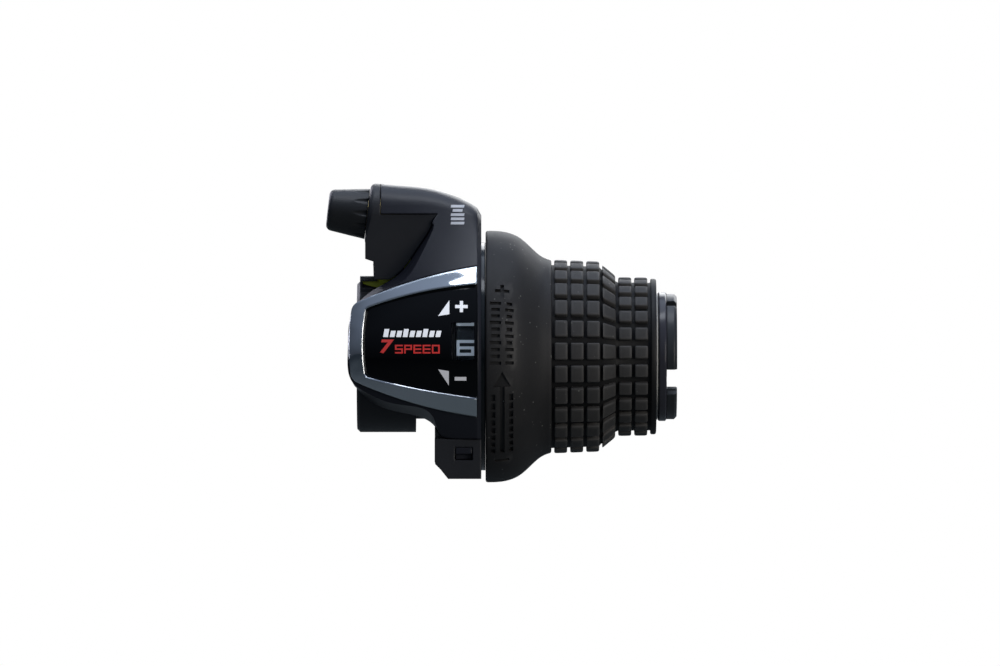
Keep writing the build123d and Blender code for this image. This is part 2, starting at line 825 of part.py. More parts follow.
# ================================================================ bar sleeve
with BuildPart() as bar_sleeve:
    add(
        turned(
            [
                (bay_left - sleeve_flange, sleeve_bore_radius),
                (sleeve_end, sleeve_bore_radius),
                (sleeve_end, sleeve_radius),
                (bay_left, sleeve_radius),
                (bay_left, sleeve_flange_radius),
                (bay_left - sleeve_flange, sleeve_flange_radius),
            ]
        )
    )
    # Snap lugs at the outboard end, on fingers parted by slots.
    for start_angle, end_angle in lug_spans:
        lug_plane = Plane(origin=(0, 0, 0), x_dir=(1, 0, 0), z_dir=around(1, start_angle + 90))
        with BuildSketch(lug_plane):
            with BuildLine():
                Polyline(
                    (lug_start, sleeve_radius - glue_line),
                    (sleeve_end, sleeve_radius - glue_line),
                    (sleeve_end, lug_radius - 0.6),
                    (sleeve_end - 0.6, lug_radius),
                    (lug_start, lug_radius),
                    close=True,
                )
            make_face()
        revolve(axis=Axis.X, revolution_arc=end_angle - start_angle)
    for slot_angle, lug_gap in finger_slots:
        for reach, width in ((finger_length + 0.5, finger_slot), (lug_length + 0.5, lug_gap)):
            slot_middle = around(sleeve_radius, slot_angle, sleeve_end + 0.5 - reach / 2)
            with BuildSketch(Plane(origin=slot_middle, x_dir=(1, 0, 0), z_dir=around(1, slot_angle))):
                Rectangle(reach, width)
            extrude(amount=3, both=True, mode=Mode.SUBTRACT)
    for angle in screw_angles:
        start = around(screw_circle_radius, angle, bay_left)
        add(rod(start, (-1, 0, 0), screw_radius + thread_gap, sleeve_flange), mode=Mode.SUBTRACT)
        with Locations(Plane(origin=start, z_dir=(-1, 0, 0))):
            Cone(
                screw_head_radius + thread_gap,
                screw_radius + thread_gap,
                screw_head_height,
                align=(Align.CENTER, Align.CENTER, Align.MIN),
                mode=Mode.SUBTRACT,
            )
bar_sleeve.part.label = "bar_sleeve"
export_step(bar_sleeve.part, "parts/bar_sleeve.step")

# ================================================================ sleeve screws
with BuildPart() as sleeve_screws:
    for angle in screw_angles:
        start = around(screw_circle_radius, angle, bay_left)
        with Locations(Plane(origin=start, z_dir=(-1, 0, 0))):
            Cone(
                screw_head_radius,
                screw_radius,
                screw_head_height,
                align=(Align.CENTER, Align.CENTER, Align.MIN),
            )
            Cylinder(screw_radius, screw_length, align=(Align.CENTER, Align.CENTER, Align.MIN))
            Cylinder(0.5, 0.5, align=(Align.CENTER, Align.CENTER, Align.MIN), mode=Mode.SUBTRACT)
sleeve_screws.part.label = "sleeve_screws"
export_step(sleeve_screws.part, "parts/sleeve_screws.step")

# ================================================================ cover screw
with BuildPart() as cover_screw:
    add(rod(screw_line, (0, -1, 0), screw_radius, cover_screw_length - 0.3))
    add(rod(screw_line, (0, 1, 0), cover_screw_head_radius, cover_screw_head_height))
    recess = screw_line + Vector(0, cover_screw_head_height, 0)
    with BuildSketch(Plane(origin=recess, z_dir=(0, 1, 0))):
        Rectangle(2.2, 0.5)
        Rectangle(0.5, 2.2)
    extrude(amount=-0.9, mode=Mode.SUBTRACT)
cover_screw.part.label = "cover_screw"
export_step(cover_screw.part, "parts/cover_screw.step")

# ================================================================ clamp bolt, nut and nut plate
bolt_reach = ear_face + plate_thickness + nut_thickness
with BuildPart() as clamp_bolt:
    add(rod((bolt_x, ear_face, bolt_z), (0, -1, 0), bolt_radius, ear_face + bolt_reach + 0.4))
    head_plane = Plane(origin=(bolt_x, ear_face, bolt_z), z_dir=(0, 1, 0))
    with BuildSketch(head_plane):
        Circle(bolt_head_radius)
    extrude(amount=bolt_head_height)
    chamfer(clamp_bolt.faces().sort_by(Axis.Y)[-1].edges(), 0.4)
    with BuildSketch(head_plane.offset(bolt_head_height)):
        RegularPolygon(bolt_key_radius, 6, major_radius=False)
    extrude(amount=-bolt_key_depth, mode=Mode.SUBTRACT)
clamp_bolt.part.label = "clamp_bolt"
export_step(clamp_bolt.part, "parts/clamp_bolt.step")

with BuildPart() as clamp_nut:
    with BuildSketch(Plane(origin=(bolt_x, plate_front, bolt_z), x_dir=(0, 0, 1), z_dir=(0, -1, 0))):
        RegularPolygon(nut_flat_radius, 6, major_radius=False, rotation=30)
        Circle(bolt_radius + thread_gap, mode=Mode.SUBTRACT)
    extrude(amount=nut_thickness)
clamp_nut.part.label = "clamp_nut"
export_step(clamp_nut.part, "parts/clamp_nut.step")

with BuildPart() as nut_plate:
    add(slab(plate_outline(), plate_front, -ear_face))
    add(rod(bolt_line, (0, 1, 0), bolt_radius + bolt_clearance, 4 * ear_face), mode=Mode.SUBTRACT)
nut_plate.part.label = "nut_plate"
export_step(nut_plate.part, "parts/nut_plate.step")

# ================================================================ cable guide
with BuildPart() as cable_guide:
    add(guide_sweep(guide_radius, guide_start))
    add(guide_sweep(guide_bore_radius, guide_start), mode=Mode.SUBTRACT)
cable_guide.part.label = "cable_guide"
export_step(cable_guide.part, "parts/cable_guide.step")

# ================================================================ adjuster at the cable outlet
outlet_side = Plane(origin=outlet_mouth, x_dir=outlet_direction, z_dir=(0, 1, 0))
outlet_axis = Axis(outlet_mouth, outlet_direction)


def turned_on_outlet(points):
    """A ring turned about the outlet's axis from (distance out of the mouth, radius) corners."""
    with BuildPart() as body:
        with BuildSketch(outlet_side):
            with BuildLine():
                Polyline(*points, close=True)
            make_face()
        revolve(axis=outlet_axis)
    return body.part


with BuildPart() as adjuster_insert:
    add(
        turned_on_outlet(
            [
                (-insert_length, adjuster_thread_radius + running_gap),
                (0, adjuster_thread_radius + running_gap),
                (0, insert_radius),
                (-insert_length, insert_radius),
            ]
        )
    )
adjuster_insert.part.label = "adjuster_insert"
export_step(adjuster_insert.part, "parts/adjuster_insert.step")

ring_out = knob_gap + detent_ring_thickness
with BuildPart() as adjuster_detent_ring:
    add(
        turned_on_outlet(
            [
                (knob_gap, adjuster_thread_radius + running_gap),
                (ring_out, adjuster_thread_radius + running_gap),
                (ring_out, detent_ring_radius),
                (knob_gap, detent_ring_radius),
            ]
        )
    )
adjuster_detent_ring.part.label = "adjuster_detent_ring"
export_step(adjuster_detent_ring.part, "parts/adjuster_detent_ring.step")

socket_floor = knob_length - housing_socket_depth
with BuildPart() as adjuster_knob:
    add(
        turned_on_outlet(
            [
                (knob_length, housing_socket_radius),
                (socket_floor, housing_socket_radius),
                (socket_floor, cable_hole_radius),
                (adjuster_head + glue_line, cable_hole_radius),
                (adjuster_head + glue_line, adjuster_thread_radius + thread_gap),
                (ring_out + knob_gap, adjuster_thread_radius + thread_gap),
                (ring_out + knob_gap, detent_ring_radius + knob_gap),
                (knob_gap, detent_ring_radius + knob_gap),
                (knob_gap, knob_root_radius),
                (knob_length, knob_tip_radius),
            ]
        )
    )
    tip_edges = adjuster_knob.edges().filter_by(GeomType.CIRCLE).group_by(outlet_axis)[-1]
    fillet(tip_edges.sort_by(SortBy.RADIUS)[-1], knob_nose)
    root_plane = Plane(origin=outlet_mouth, x_dir=(0, 1, 0), z_dir=outlet_direction)
    with BuildSketch(root_plane.offset(-1)):
        with PolarLocations(knob_root_radius + flute_radius - flute_depth, knob_flutes):
            Circle(flute_radius)
    extrude(amount=knob_length, mode=Mode.SUBTRACT)
adjuster_knob.part.label = "adjuster_knob"
export_step(adjuster_knob.part, "parts/adjuster_knob.step")

with BuildPart() as adjuster_screw:
    add(
        turned_on_outlet(
            [
                (-adjuster_reach, cable_hole_radius),
                (adjuster_head, cable_hole_radius),
                (adjuster_head, adjuster_thread_radius),
                (-adjuster_reach, adjuster_thread_radius),
            ]
        )
    )
adjuster_screw.part.label = "adjuster_screw"
export_step(adjuster_screw.part, "parts/adjuster_screw.step")

# ================================================================ grip pipe
flange_start = grip_start + 0.2
flange_end = flange_start + pipe_flange
pipe_skirt = [
    (flange_end, pipe_flange_radius),
    (flange_end + 2.8, pipe_flange_radius - 0.3),
    (collar_end - 6.0, pipe_flange_radius - 1.8),
    (collar_end - 3.0, pipe_waist_radius + 1.8),
    (collar_end, pipe_waist_radius),
    (slope_start, pipe_waist_radius - 0.3),
    (slope_end + 0.4, pipe_tip_radius),
]
with BuildPart() as grip_pipe:
    add(
        turned(
            [
                (pipe_start, pipe_bore_radius),
                (pipe_start, pipe_hub_radius),
                (flange_start, pipe_hub_radius),
                (flange_start, pipe_flange_radius),
                *pipe_skirt,
                (pipe_end, pipe_tip_radius),
                (pipe_end, pipe_bore_radius),
            ]
        )
    )
    # The thick inboard end is cored out, and ribs are left across the hollow.
    core_end = flange_start + core_length
    add(tube(flange_start - 1, core_end, core_outer_radius, core_inner_radius), mode=Mode.SUBTRACT)
    for rib in range(core_ribs):
        rib_radius = (core_inner_radius + core_outer_radius) / 2
        rib_middle = around(rib_radius, rib * 360 / core_ribs, flange_start + core_length / 2)
        with BuildSketch(Plane(origin=rib_middle, x_dir=(1, 0, 0), z_dir=around(1, rib * 360 / core_ribs))):
            Rectangle(core_length, core_rib)
        extrude(amount=(core_outer_radius - core_inner_radius) / 2 + 0.5, both=True)
grip_pipe.part.label = "grip_pipe"
export_step(grip_pipe.part, "parts/grip_pipe.step")


# ================================================================ rubber grip
def blocks_surface(drop):
    """The grip's blocks seen from the side, lowered by a drop, from the collar to the end lip."""
    return [
        (collar_end, waist_radius - drop),
        (slope_start, waist_radius - 0.4 - drop),
        (slope_start + 0.3, waist_radius - 0.8 - drop),
        (slope_end, tip_radius + 0.4 - drop),
        (slope_end + 0.6, tip_radius + 0.1 - drop),
        (blocks_end, tip_radius - drop),
    ]


groove_end = blocks_end + ring_groove
groove_core = turned(
    [
        (collar_end - 1, 0),
        (collar_end - 1, waist_radius - groove_depth),
        *blocks_surface(groove_depth),
        (groove_end + 1, tip_radius - groove_depth),
        (groove_end + 1, 0),
    ]
)
with BuildPart() as groove_slabs:
    for row in range(block_rows):
        between_rows = 180 - row_phase + (row + 0.5) * 360 / block_rows
        middle = around(waist_radius, between_rows, (collar_end + groove_end) / 2)
        with BuildSketch(Plane(origin=middle, x_dir=(1, 0, 0), z_dir=around(1, between_rows))):
            Rectangle(groove_end - collar_end, row_groove)
        extrude(amount=waist_radius / 2, both=True)
    for column in range(waist_columns + slope_columns + tip_columns + 1):
        start = collar_end + column * block_pitch
        add(tube(start, start + ring_groove, collar_radius, tip_radius / 2))
    add(groove_core, mode=Mode.SUBTRACT)

with BuildPart() as rubber_grip:
    with BuildSketch(Plane.XY):
        with BuildLine():
            collar_front = grip_start + glue_line
            Polyline(
                (collar_front, pipe_flange_radius + glue_line),
                (collar_front, collar_radius - collar_edge),
                (collar_front + collar_edge, collar_radius),
            )
            Spline(
                (collar_front + collar_edge, collar_radius),
                (collar_end - 7.5, collar_radius - 1.3),
                (collar_end - 3.1, waist_radius + 1.5),
                (collar_end, waist_radius),
                tangents=((1, 0), (3, -1)),
            )
            Polyline(
                *blocks_surface(0),
                (groove_end, end_lip_radius),
                (rubber_end - 0.5, end_lip_radius),
                (rubber_end, end_lip_radius - 0.5),
                (rubber_end, pipe_tip_radius + glue_line),
                *[(x + glue_line, radius + glue_line) for x, radius in reversed(pipe_skirt)],
                (collar_front, pipe_flange_radius + glue_line),
            )
        make_face()
    revolve(axis=Axis.X)
    add(groove_slabs.part, mode=Mode.SUBTRACT)
rubber_grip.part.label = "rubber_grip"
export_step(rubber_grip.part, "parts/rubber_grip.step")

# ================================================================ gear dial
hub_seat = pipe_hub_radius + glue_line
with BuildPart() as gear_dial:
    add(
        turned(
            [
                (dial_start, dial_radius - dial_wall),
                (dial_start, dial_radius),
                (dial_end, dial_radius),
                (dial_end, hub_seat),
                (dial_end - dial_disc, hub_seat),
                (dial_end - dial_disc, dial_radius - dial_wall),
            ]
        )
    )
gear_dial.part.label = "gear_dial"
export_step(gear_dial.part, "parts/gear_dial.step")

# ================================================================ cable spool
with BuildPart() as cable_spool:
    add(
        turned(
            [
                (spool_start, hub_seat),
                (spool_start, spool_radius),
                (spool_start + spool_lip, spool_radius),
                (spool_x - cable_radius / 2, spool_groove_radius),
                (spool_x + cable_radius / 2, spool_groove_radius),
                (spool_end - spool_lip, spool_radius),
                (spool_end, spool_radius),
                (spool_end, hub_seat),
            ]
        )
    )
    # The pocket that the cable's nipple drops into.
    nipple = around(spool_groove_radius - nipple_radius, spring_start + 180, spool_start - 1)
    add(rod(nipple, (1, 0, 0), nipple_radius, spool_width + 2), mode=Mode.SUBTRACT)
cable_spool.part.label = "cable_spool"
export_step(cable_spool.part, "parts/cable_spool.step")

# ================================================================ index ring
roller_angle = spring_start + spring_sweep
with BuildPart() as index_ring:
    add(tube(index_start, index_end, index_radius, hub_seat))
    for gear in range(1, gears + 1):
        notch_angle = roller_angle + (gear - gear_shown) * gear_step
        notch = around(index_radius + index_notch_radius / 2, notch_angle)
        notch_start = notch + Vector(index_start - 1, 0, 0)
        add(rod(notch_start, (1, 0, 0), index_notch_radius, index_width + 2), mode=Mode.SUBTRACT)
index_ring.part.label = "index_ring"
export_step(index_ring.part, "parts/index_ring.step")

# ================================================================ detent spring, its screw and its roller
strip_start = bay_right + glue_line
strip_end = strip_start + spring_width
with BuildPart() as detent_spring:
    spring_plane = Plane(origin=(0, 0, 0), x_dir=(1, 0, 0), z_dir=around(1, spring_start + 90))
    with BuildSketch(spring_plane):
        with Locations(((strip_start + strip_end) / 2, (spring_inner + spring_outer) / 2)):
            Rectangle(spring_width, spring_thickness)
    revolve(axis=Axis.X, revolution_arc=spring_sweep + 3)
    add(rod(spring_screw + Vector(strip_start, 0, 0), (1, 0, 0), tab_radius, spring_thickness))
    head_room = strip_start + spring_thickness
    head_bore = post_screw_head_radius + 0.1
    add(rod(spring_screw + Vector(head_room, 0, 0), (1, 0, 0), head_bore, spring_width), mode=Mode.SUBTRACT)
    post_foot = spring_screw + Vector(bay_left, 0, 0)
    add(rod(post_foot, (1, 0, 0), post_bore, dial_end - bay_left), mode=Mode.SUBTRACT)
detent_spring.part.label = "detent_spring"
export_step(detent_spring.part, "parts/detent_spring.step")

screw_seat = strip_start + spring_thickness
with BuildPart() as detent_spring_screw:
    add(rod(spring_screw + Vector(screw_seat, 0, 0), (-1, 0, 0), post_screw_radius, post_screw_length))
    head_start = spring_screw + Vector(screw_seat, 0, 0)
    add(rod(head_start, (1, 0, 0), post_screw_head_radius, post_screw_head_height))
detent_spring_screw.part.label = "detent_spring_screw"
export_step(detent_spring_screw.part, "parts/detent_spring_screw.step")

with BuildPart() as detent_roller:
    roller = around(index_radius + lifted_gap + roller_radius, roller_angle, strip_start)
    add(rod(roller, (1, 0, 0), roller_radius, spring_width))
detent_roller.part.label = "detent_roller"
export_step(detent_roller.part, "parts/detent_roller.step")

# ================================================================ thrust washer and retaining ring
with BuildPart() as thrust_washer:
    add(
        tube(
            washer_start,
            washer_start + thrust_washer_thickness,
            clip_radius - 0.3,
            sleeve_radius + running_gap,
        )
    )
thrust_washer.part.label = "thrust_washer"
export_step(thrust_washer.part, "parts/thrust_washer.step")

with BuildPart() as retaining_clip:
    add(tube(clip_start, clip_end, clip_radius, sleeve_radius + running_gap))
    chamfer(retaining_clip.edges().filter_by(GeomType.CIRCLE).group_by(SortBy.RADIUS)[-1], 0.25)
    # The ring is split at the back so that it springs over the sleeve.
    add(
        block(
            (clip_start - 1, clip_end + 1),
            (sleeve_radius - 1, clip_radius + 1),
            (-clip_split / 2, clip_split / 2),
        ),
        mode=Mode.SUBTRACT,
    )
retaining_clip.part.label = "retaining_clip"
export_step(retaining_clip.part, "parts/retaining_clip.step")

# ================================================================ cable port plug
with BuildPart() as cable_port_plug:
    stem_foot = (spool_x, cavity_radius + knob_gap, 0)
    add(rod(stem_foot, (0, 1, 0), plug_stem_radius, plug_seat + knob_gap - cavity_radius))
    head_start = plug_seat + knob_gap
    add(rod((spool_x, head_start, 0), (0, 1, 0), plug_head_radius, plug_head_height))
    chamfer(cable_port_plug.faces().sort_by(Axis.Y)[-1].edges(), 0.4)
    with BuildSketch(Plane(origin=(spool_x, head_start + plug_head_height, 0), z_dir=(0, 1, 0))):
        Rectangle(2 * plug_stem_radius, 0.8)
    extrude(amount=-0.7, mode=Mode.SUBTRACT)
cable_port_plug.part.label = "cable_port_plug"
export_step(cable_port_plug.part, "parts/cable_port_plug.step")
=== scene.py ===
# %% [markdown]
# # A twist-grip gear shifter
#
# The object is a right-hand gear shifter for a bicycle: a plastic housing clamped on the handlebar, with
# a chrome-framed gear window, and a rubber grip beside it that turns to change gear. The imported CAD
# model is the fixed frame, and this lesson gives it its looks: better meshes where moulded rubber,
# printed marks and soft edges need them, and a material for every piece. X runs along the handlebar
# towards the grip's end, Z is up and the display faces -Y. Blender's lengths are metres, and sizes that
# are easier to read in millimetres are multiplied by MM.

import math

import bpy
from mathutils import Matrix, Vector


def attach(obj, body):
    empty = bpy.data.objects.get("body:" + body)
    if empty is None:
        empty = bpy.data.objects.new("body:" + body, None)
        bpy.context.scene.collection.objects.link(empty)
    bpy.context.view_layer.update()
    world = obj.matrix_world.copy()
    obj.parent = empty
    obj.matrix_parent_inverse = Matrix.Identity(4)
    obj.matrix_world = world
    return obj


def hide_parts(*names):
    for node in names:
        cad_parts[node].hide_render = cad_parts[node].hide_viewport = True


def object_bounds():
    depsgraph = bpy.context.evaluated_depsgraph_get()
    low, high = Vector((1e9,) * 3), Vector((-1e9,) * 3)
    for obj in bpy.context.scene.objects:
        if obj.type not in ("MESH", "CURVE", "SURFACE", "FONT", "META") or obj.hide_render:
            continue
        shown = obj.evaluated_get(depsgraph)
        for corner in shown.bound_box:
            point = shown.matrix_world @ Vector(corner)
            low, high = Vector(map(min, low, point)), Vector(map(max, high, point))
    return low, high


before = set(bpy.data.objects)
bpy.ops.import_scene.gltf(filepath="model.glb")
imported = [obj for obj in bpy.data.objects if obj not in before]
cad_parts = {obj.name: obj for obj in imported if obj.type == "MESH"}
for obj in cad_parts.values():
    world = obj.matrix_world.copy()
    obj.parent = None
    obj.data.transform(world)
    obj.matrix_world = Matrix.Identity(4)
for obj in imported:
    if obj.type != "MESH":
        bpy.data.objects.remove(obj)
cad_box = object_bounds()
bpy.ops.object.select_all(action="DESELECT")
scene = bpy.context.scene
MM = 0.001

# %% [markdown]
# ## The camera and the light
#
# A long lens from far away shows a small product almost without perspective. So the camera stands
# three metres off, square to the handlebar, and looks straight along +Y. The width of what it sees at
# the handlebar's axis sets the lens.

# %% Camera
SENSOR = 36.0
DISTANCE = 3.0
SEEN_WIDTH = 0.225
VIEW_MIDDLE = Vector((0.0255, 0.0, 0.0053))

camera_data = bpy.data.cameras.new("camera")
camera_data.sensor_width = SENSOR
camera_data.lens = SENSOR * DISTANCE / SEEN_WIDTH
camera = bpy.data.objects.new("camera", camera_data)
camera.location = VIEW_MIDDLE - Vector((0.0, DISTANCE, 0.0))
camera.rotation_euler = (math.radians(90), 0.0, 0.0)
scene.collection.objects.link(camera)
scene.camera = camera
print("lens:", round(camera_data.lens, 1), "mm")

# %% [markdown]
# ## A short hand for nodes
#
# Shader maths is easier to read as an expression than as a chain of nodes. `Value` wraps one socket and
# turns +, - and * into Math nodes. `Nodes` is a node tree under construction, and its `node` method adds
# any other node. `Paint` is a material: a tree with a main shader.


# %% Value, Nodes and Paint
class Value:
    """One output socket, with arithmetic."""

    def __init__(self, tree, socket):
        self.tree = tree
        self.socket = socket

    def math(self, operation, first, second):
        node = self.tree.nodes.new("ShaderNodeMath")
        node.operation = operation
        for slot, item in zip(node.inputs, (first, second)):
            if isinstance(item, Value):
                self.tree.links.new(item.socket, slot)
            else:
                slot.default_value = item
        return Value(self.tree, node.outputs[0])

    def __add__(self, other):
        return self.math("ADD", self, other)

    def __radd__(self, other):
        return self.math("ADD", other, self)

    def __sub__(self, other):
        return self.math("SUBTRACT", self, other)

    def __rsub__(self, other):
        return self.math("SUBTRACT", other, self)

    def __mul__(self, other):
        return self.math("MULTIPLY", self, other)

    def __rmul__(self, other):
        return self.math("MULTIPLY", other, self)


class Nodes:
    """A node tree under construction."""

    def __init__(self, tree):
        self.tree = tree

    def node(self, kind, settings=None, output=0, sockets=None, **inputs):
        """Adds a node: its settings first, then values or links for its inputs, by number or name."""
        node = self.tree.nodes.new(kind)
        for name, value in (settings or {}).items():
            if name == "stops":
                for element, (position, shade) in zip(node.color_ramp.elements, value):
                    element.position = position
                    element.color = (*shade, 1.0)
            else:
                setattr(node, name, value)
        chosen = dict(sockets or {})
        chosen.update({name.replace("_", " "): value for name, value in inputs.items()})
        for name, value in chosen.items():
            if isinstance(value, Value):
                self.tree.links.new(value.socket, node.inputs[name])
            else:
                node.inputs[name].default_value = value
        return Value(self.tree, node.outputs[output])

    def finish(self, value):
        """Sends a shader to the tree's output."""
        for node in self.tree.nodes:
            if node.type.startswith("OUTPUT"):
                self.tree.links.new(value.socket, node.inputs["Surface"])


class Paint(Nodes):
    """A material and its main shader."""

    def __init__(self, name, colour, roughness, metallic=0.0, coat=0.0, specular=0.5):
        self.material = bpy.data.materials.new(name)
        self.material.use_nodes = True
        super().__init__(self.material.node_tree)
        self.shader = self.tree.nodes["Principled BSDF"]
        self.set("Base Color", (*colour, 1.0))
        self.set("Roughness", roughness)
        self.set("Metallic", metallic)
        self.set("Coat Weight", coat)
        self.set("Specular IOR Level", specular)
        self.material.diffuse_color = (*colour, 1.0)

    def set(self, name, value):
        """Sets a socket of the main shader to a number, a colour or a link."""
        if isinstance(value, Value):
            self.tree.links.new(value.socket, self.shader.inputs[name])
        else:
            self.shader.inputs[name].default_value = value

    def place(self):
        return self.node("ShaderNodeTexCoord", output="Object")

    def noise(self, size, detail=4.0, rough=0.55, stretch=(1, 1, 1)):
        """Noise with features of about the given size."""
        where = self.node("ShaderNodeMapping", Vector=self.place(), Scale=stretch)
        return self.node("ShaderNodeTexNoise", Vector=where, Scale=1.0 / size, Detail=detail, Roughness=rough)

    def bump(self, height, depth, under=None):
        """Sends a height to the shader's normal, with its depth in metres."""
        settings = {"Height": height, "Strength": 1.0, "Distance": depth}
        if under is not None:
            settings["Normal"] = under
        normal = self.node("ShaderNodeBump", **settings)
        self.set("Normal", normal)
        return normal

    def soften(self, radius):
        """Rounds the look of sharp edges, with a radius in metres."""
        normal = self.node("ShaderNodeBevel", {"samples": 6}, output="Normal", Radius=radius)
        self.set("Normal", normal)
        return normal

    def blend(self, factor, first, second):
        """Mixes two colours."""
        colours = [item if isinstance(item, Value) else (*item, 1.0) for item in (first, second)]
        settings = {"data_type": "RGBA"}
        return self.node("ShaderNodeMix", settings, 2, {0: factor, 6: colours[0], 7: colours[1]})

    def glow(self, colour, strength):
        """Adds emission to a print: painted light, so that the print shines brighter than the lamps make it."""
        self.set("Emission Color", (*colour, 1.0))
        self.set("Emission Strength", strength)


# %% [markdown]
# Black plastic shows its shape only by what it reflects. The studio is dark in front, so that the
# display and the flanks stay black, and a cool sky and a few long softboxes draw the edges that turn
# upwards or to the side. The world is white only where the camera looks at it directly.

# %% World
scene.view_settings.view_transform = "Standard"
world = bpy.data.worlds.new("studio")
scene.world = world
world.use_nodes = True
studio = Nodes(world.node_tree)
direction = studio.node("ShaderNodeTexCoord", output="Generated")
up = studio.node("ShaderNodeSeparateXYZ", output="Z", Vector=direction)
share = studio.node("ShaderNodeMapRange", Value=up, From_Min=-1.0, From_Max=1.0)
stops = [(0.45, (0.016, 0.018, 0.022)), (0.95, (0.26, 0.31, 0.42))]
sky_colour = studio.node("ShaderNodeValToRGB", {"stops": stops}, Fac=share)
ambient = studio.node("ShaderNodeBackground", Color=sky_colour)
white = studio.node("ShaderNodeBackground", Color=(1.0, 1.0, 1.0, 1.0))
seen = studio.node("ShaderNodeLightPath", output="Is Camera Ray")
studio.finish(studio.node("ShaderNodeMixShader", sockets={0: seen, 1: ambient, 2: white}))
print("world nodes:", len(world.node_tree.nodes))


# %% Lights
def softbox(name, place, size, power, colour):
    """A rectangular light that faces the middle of the view."""
    data = bpy.data.lights.new(name, "AREA")
    data.shape = "RECTANGLE"
    data.size, data.size_y = size
    data.energy = power
    data.color = colour
    lamp = bpy.data.objects.new(name, data)
    lamp.location = place
    lamp.rotation_euler = (VIEW_MIDDLE - Vector(place)).to_track_quat("-Z", "Y").to_euler()
    scene.collection.objects.link(lamp)


softbox("key", (0.10, -0.17, 0.84), (0.8, 0.20), 2.1, (0.86, 0.91, 1.0))
softbox("sky", (0.0, 0.25, 0.95), (1.2, 0.6), 2.5, (0.74, 0.83, 1.0))
softbox("rim", (-0.50, 0.66, 0.26), (0.35, 0.6), 2.6, (0.86, 0.86, 1.0))
softbox("front", (0.80, -0.80, 0.00), (0.4, 0.9), 6.5, (1.0, 0.95, 0.89))
softbox("rear", (0.2, 0.85, 0.45), (0.8, 0.5), 4.0, (0.95, 0.97, 1.0))
print("softboxes:", len(bpy.data.lights))

# %% [markdown]
# The floor is a plain white sheet well below the object. It runs back and curves up into a wall, as
# studio paper does, so no horizon shows behind the object.

# %% Floor
FLOOR_DROP = 0.09
PAPER_WIDTH = 12.0
PAPER_FRONT = -4.5
PAPER_BACK = 4.5
WALL_HEIGHT = 3.0
PAPER_CURVE = 1.5
floor_z = cad_box[0][2] - FLOOR_DROP
paper_middle = (0.0, (PAPER_FRONT + PAPER_BACK) / 2, floor_z)
bpy.ops.mesh.primitive_plane_add(size=1.0, location=paper_middle)
floor = bpy.context.object
floor.name = "floor"
bpy.ops.object.mode_set(mode="EDIT")
bpy.ops.transform.resize(value=(PAPER_WIDTH, PAPER_BACK - PAPER_FRONT, 1.0))
bpy.ops.mesh.select_mode(type="EDGE")
bpy.ops.mesh.select_all(action="DESELECT")
bpy.ops.object.mode_set(mode="OBJECT")
for edge in floor.data.edges:
    ends = [floor.matrix_world @ floor.data.vertices[v].co for v in edge.vertices]
    edge.select = all(end.y > PAPER_BACK - MM for end in ends)
bpy.ops.object.mode_set(mode="EDIT")
bpy.ops.mesh.extrude_region_move(TRANSFORM_OT_translate={"value": (0, 0, WALL_HEIGHT)})
bpy.ops.object.mode_set(mode="OBJECT")
for edge in floor.data.edges:
    ends = [floor.matrix_world @ floor.data.vertices[v].co for v in edge.vertices]
    edge.select = all(end.y > PAPER_BACK - MM and end.z < floor_z + MM for end in ends)
bpy.ops.object.mode_set(mode="EDIT")
bpy.ops.mesh.bevel(offset=PAPER_CURVE, segments=16)
bpy.ops.object.mode_set(mode="OBJECT")
bpy.ops.object.shade_smooth()
bpy.ops.object.transform_apply(location=True, rotation=True, scale=True)
bpy.ops.object.select_all(action="DESELECT")
print("floor faces:", len(floor.data.polygons))

# %% [markdown]
# ## Finishes
#
# `dress` gives a CAD node its material. The floor shows white to the camera but is a dark card to
# everything else, so that it doesn't turn the black plastic's underside grey.


# %% Dressing a CAD node
def dress(name, paint):
    """Gives a CAD node its material."""
    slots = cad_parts[name].data.materials
    slots.clear()
    slots.append(paint.material)


# %% Floor's finish
paper = Paint("paper", (0.09, 0.10, 0.10), 0.9, specular=0.0)
bright = paper.node("ShaderNodeEmission")
seen = paper.node("ShaderNodeLightPath", output="Is Camera Ray")
card = Value(paper.tree, paper.shader.outputs[0])
paper.finish(paper.node("ShaderNodeMixShader", sockets={0: seen, 1: card, 2: bright}))
floor.data.materials.append(paper.material)


# %% [markdown]
# ## Plastics and metals
#
# The housing, the cover, the knob and the sleeve are injection-moulded, and differ in how far their
# mould was polished. One function makes them all: the roughness wanders a little, a fine grain breaks
# up flat faces, and a Bevel node rounds the look of the sharp CAD edges. The plated frame is plain
# metal with a faint ripple, because plating over plastic is never quite flat.

# %% Moulded plastic
def moulded(name, colour, roughness, grain=0.00018, depth=0.000010, specular=0.5):
    """Moulded black plastic: a fine spark-eroded grain, and a roughness that wanders a little."""
    paint = Paint(name, colour, roughness, specular=specular)
    wander = paint.noise(0.008, detail=3.0)
    speck = paint.noise(grain, detail=2.0)
    paint.set("Roughness", wander * 0.16 + (roughness - 0.08))
    tint = tuple(min(1.0, c * 1.5 + 0.002) for c in colour)
    paint.set("Base Color", paint.blend(wander * speck, colour, tint))
    paint.bump(speck, depth, under=paint.soften(0.0004))
    return paint


housing = moulded("housing_plastic", (0.012, 0.013, 0.016), 0.46)
cover = moulded("cover_plastic", (0.012, 0.013, 0.019), 0.36, depth=0.000005, specular=0.4)
sleeve = moulded("sleeve_plastic", (0.022, 0.025, 0.028), 0.34, depth=0.000005)
knob = moulded("knob_plastic", (0.012, 0.013, 0.014), 0.44)
natural = moulded("natural_acetal", (0.55, 0.55, 0.52), 0.4, depth=0.000004)
clip = moulded("clip_plastic", (0.034, 0.034, 0.044), 0.2, depth=0.000002)
dial = moulded("dial_plastic", (0.030, 0.044, 0.046), 0.13, depth=0.000002)

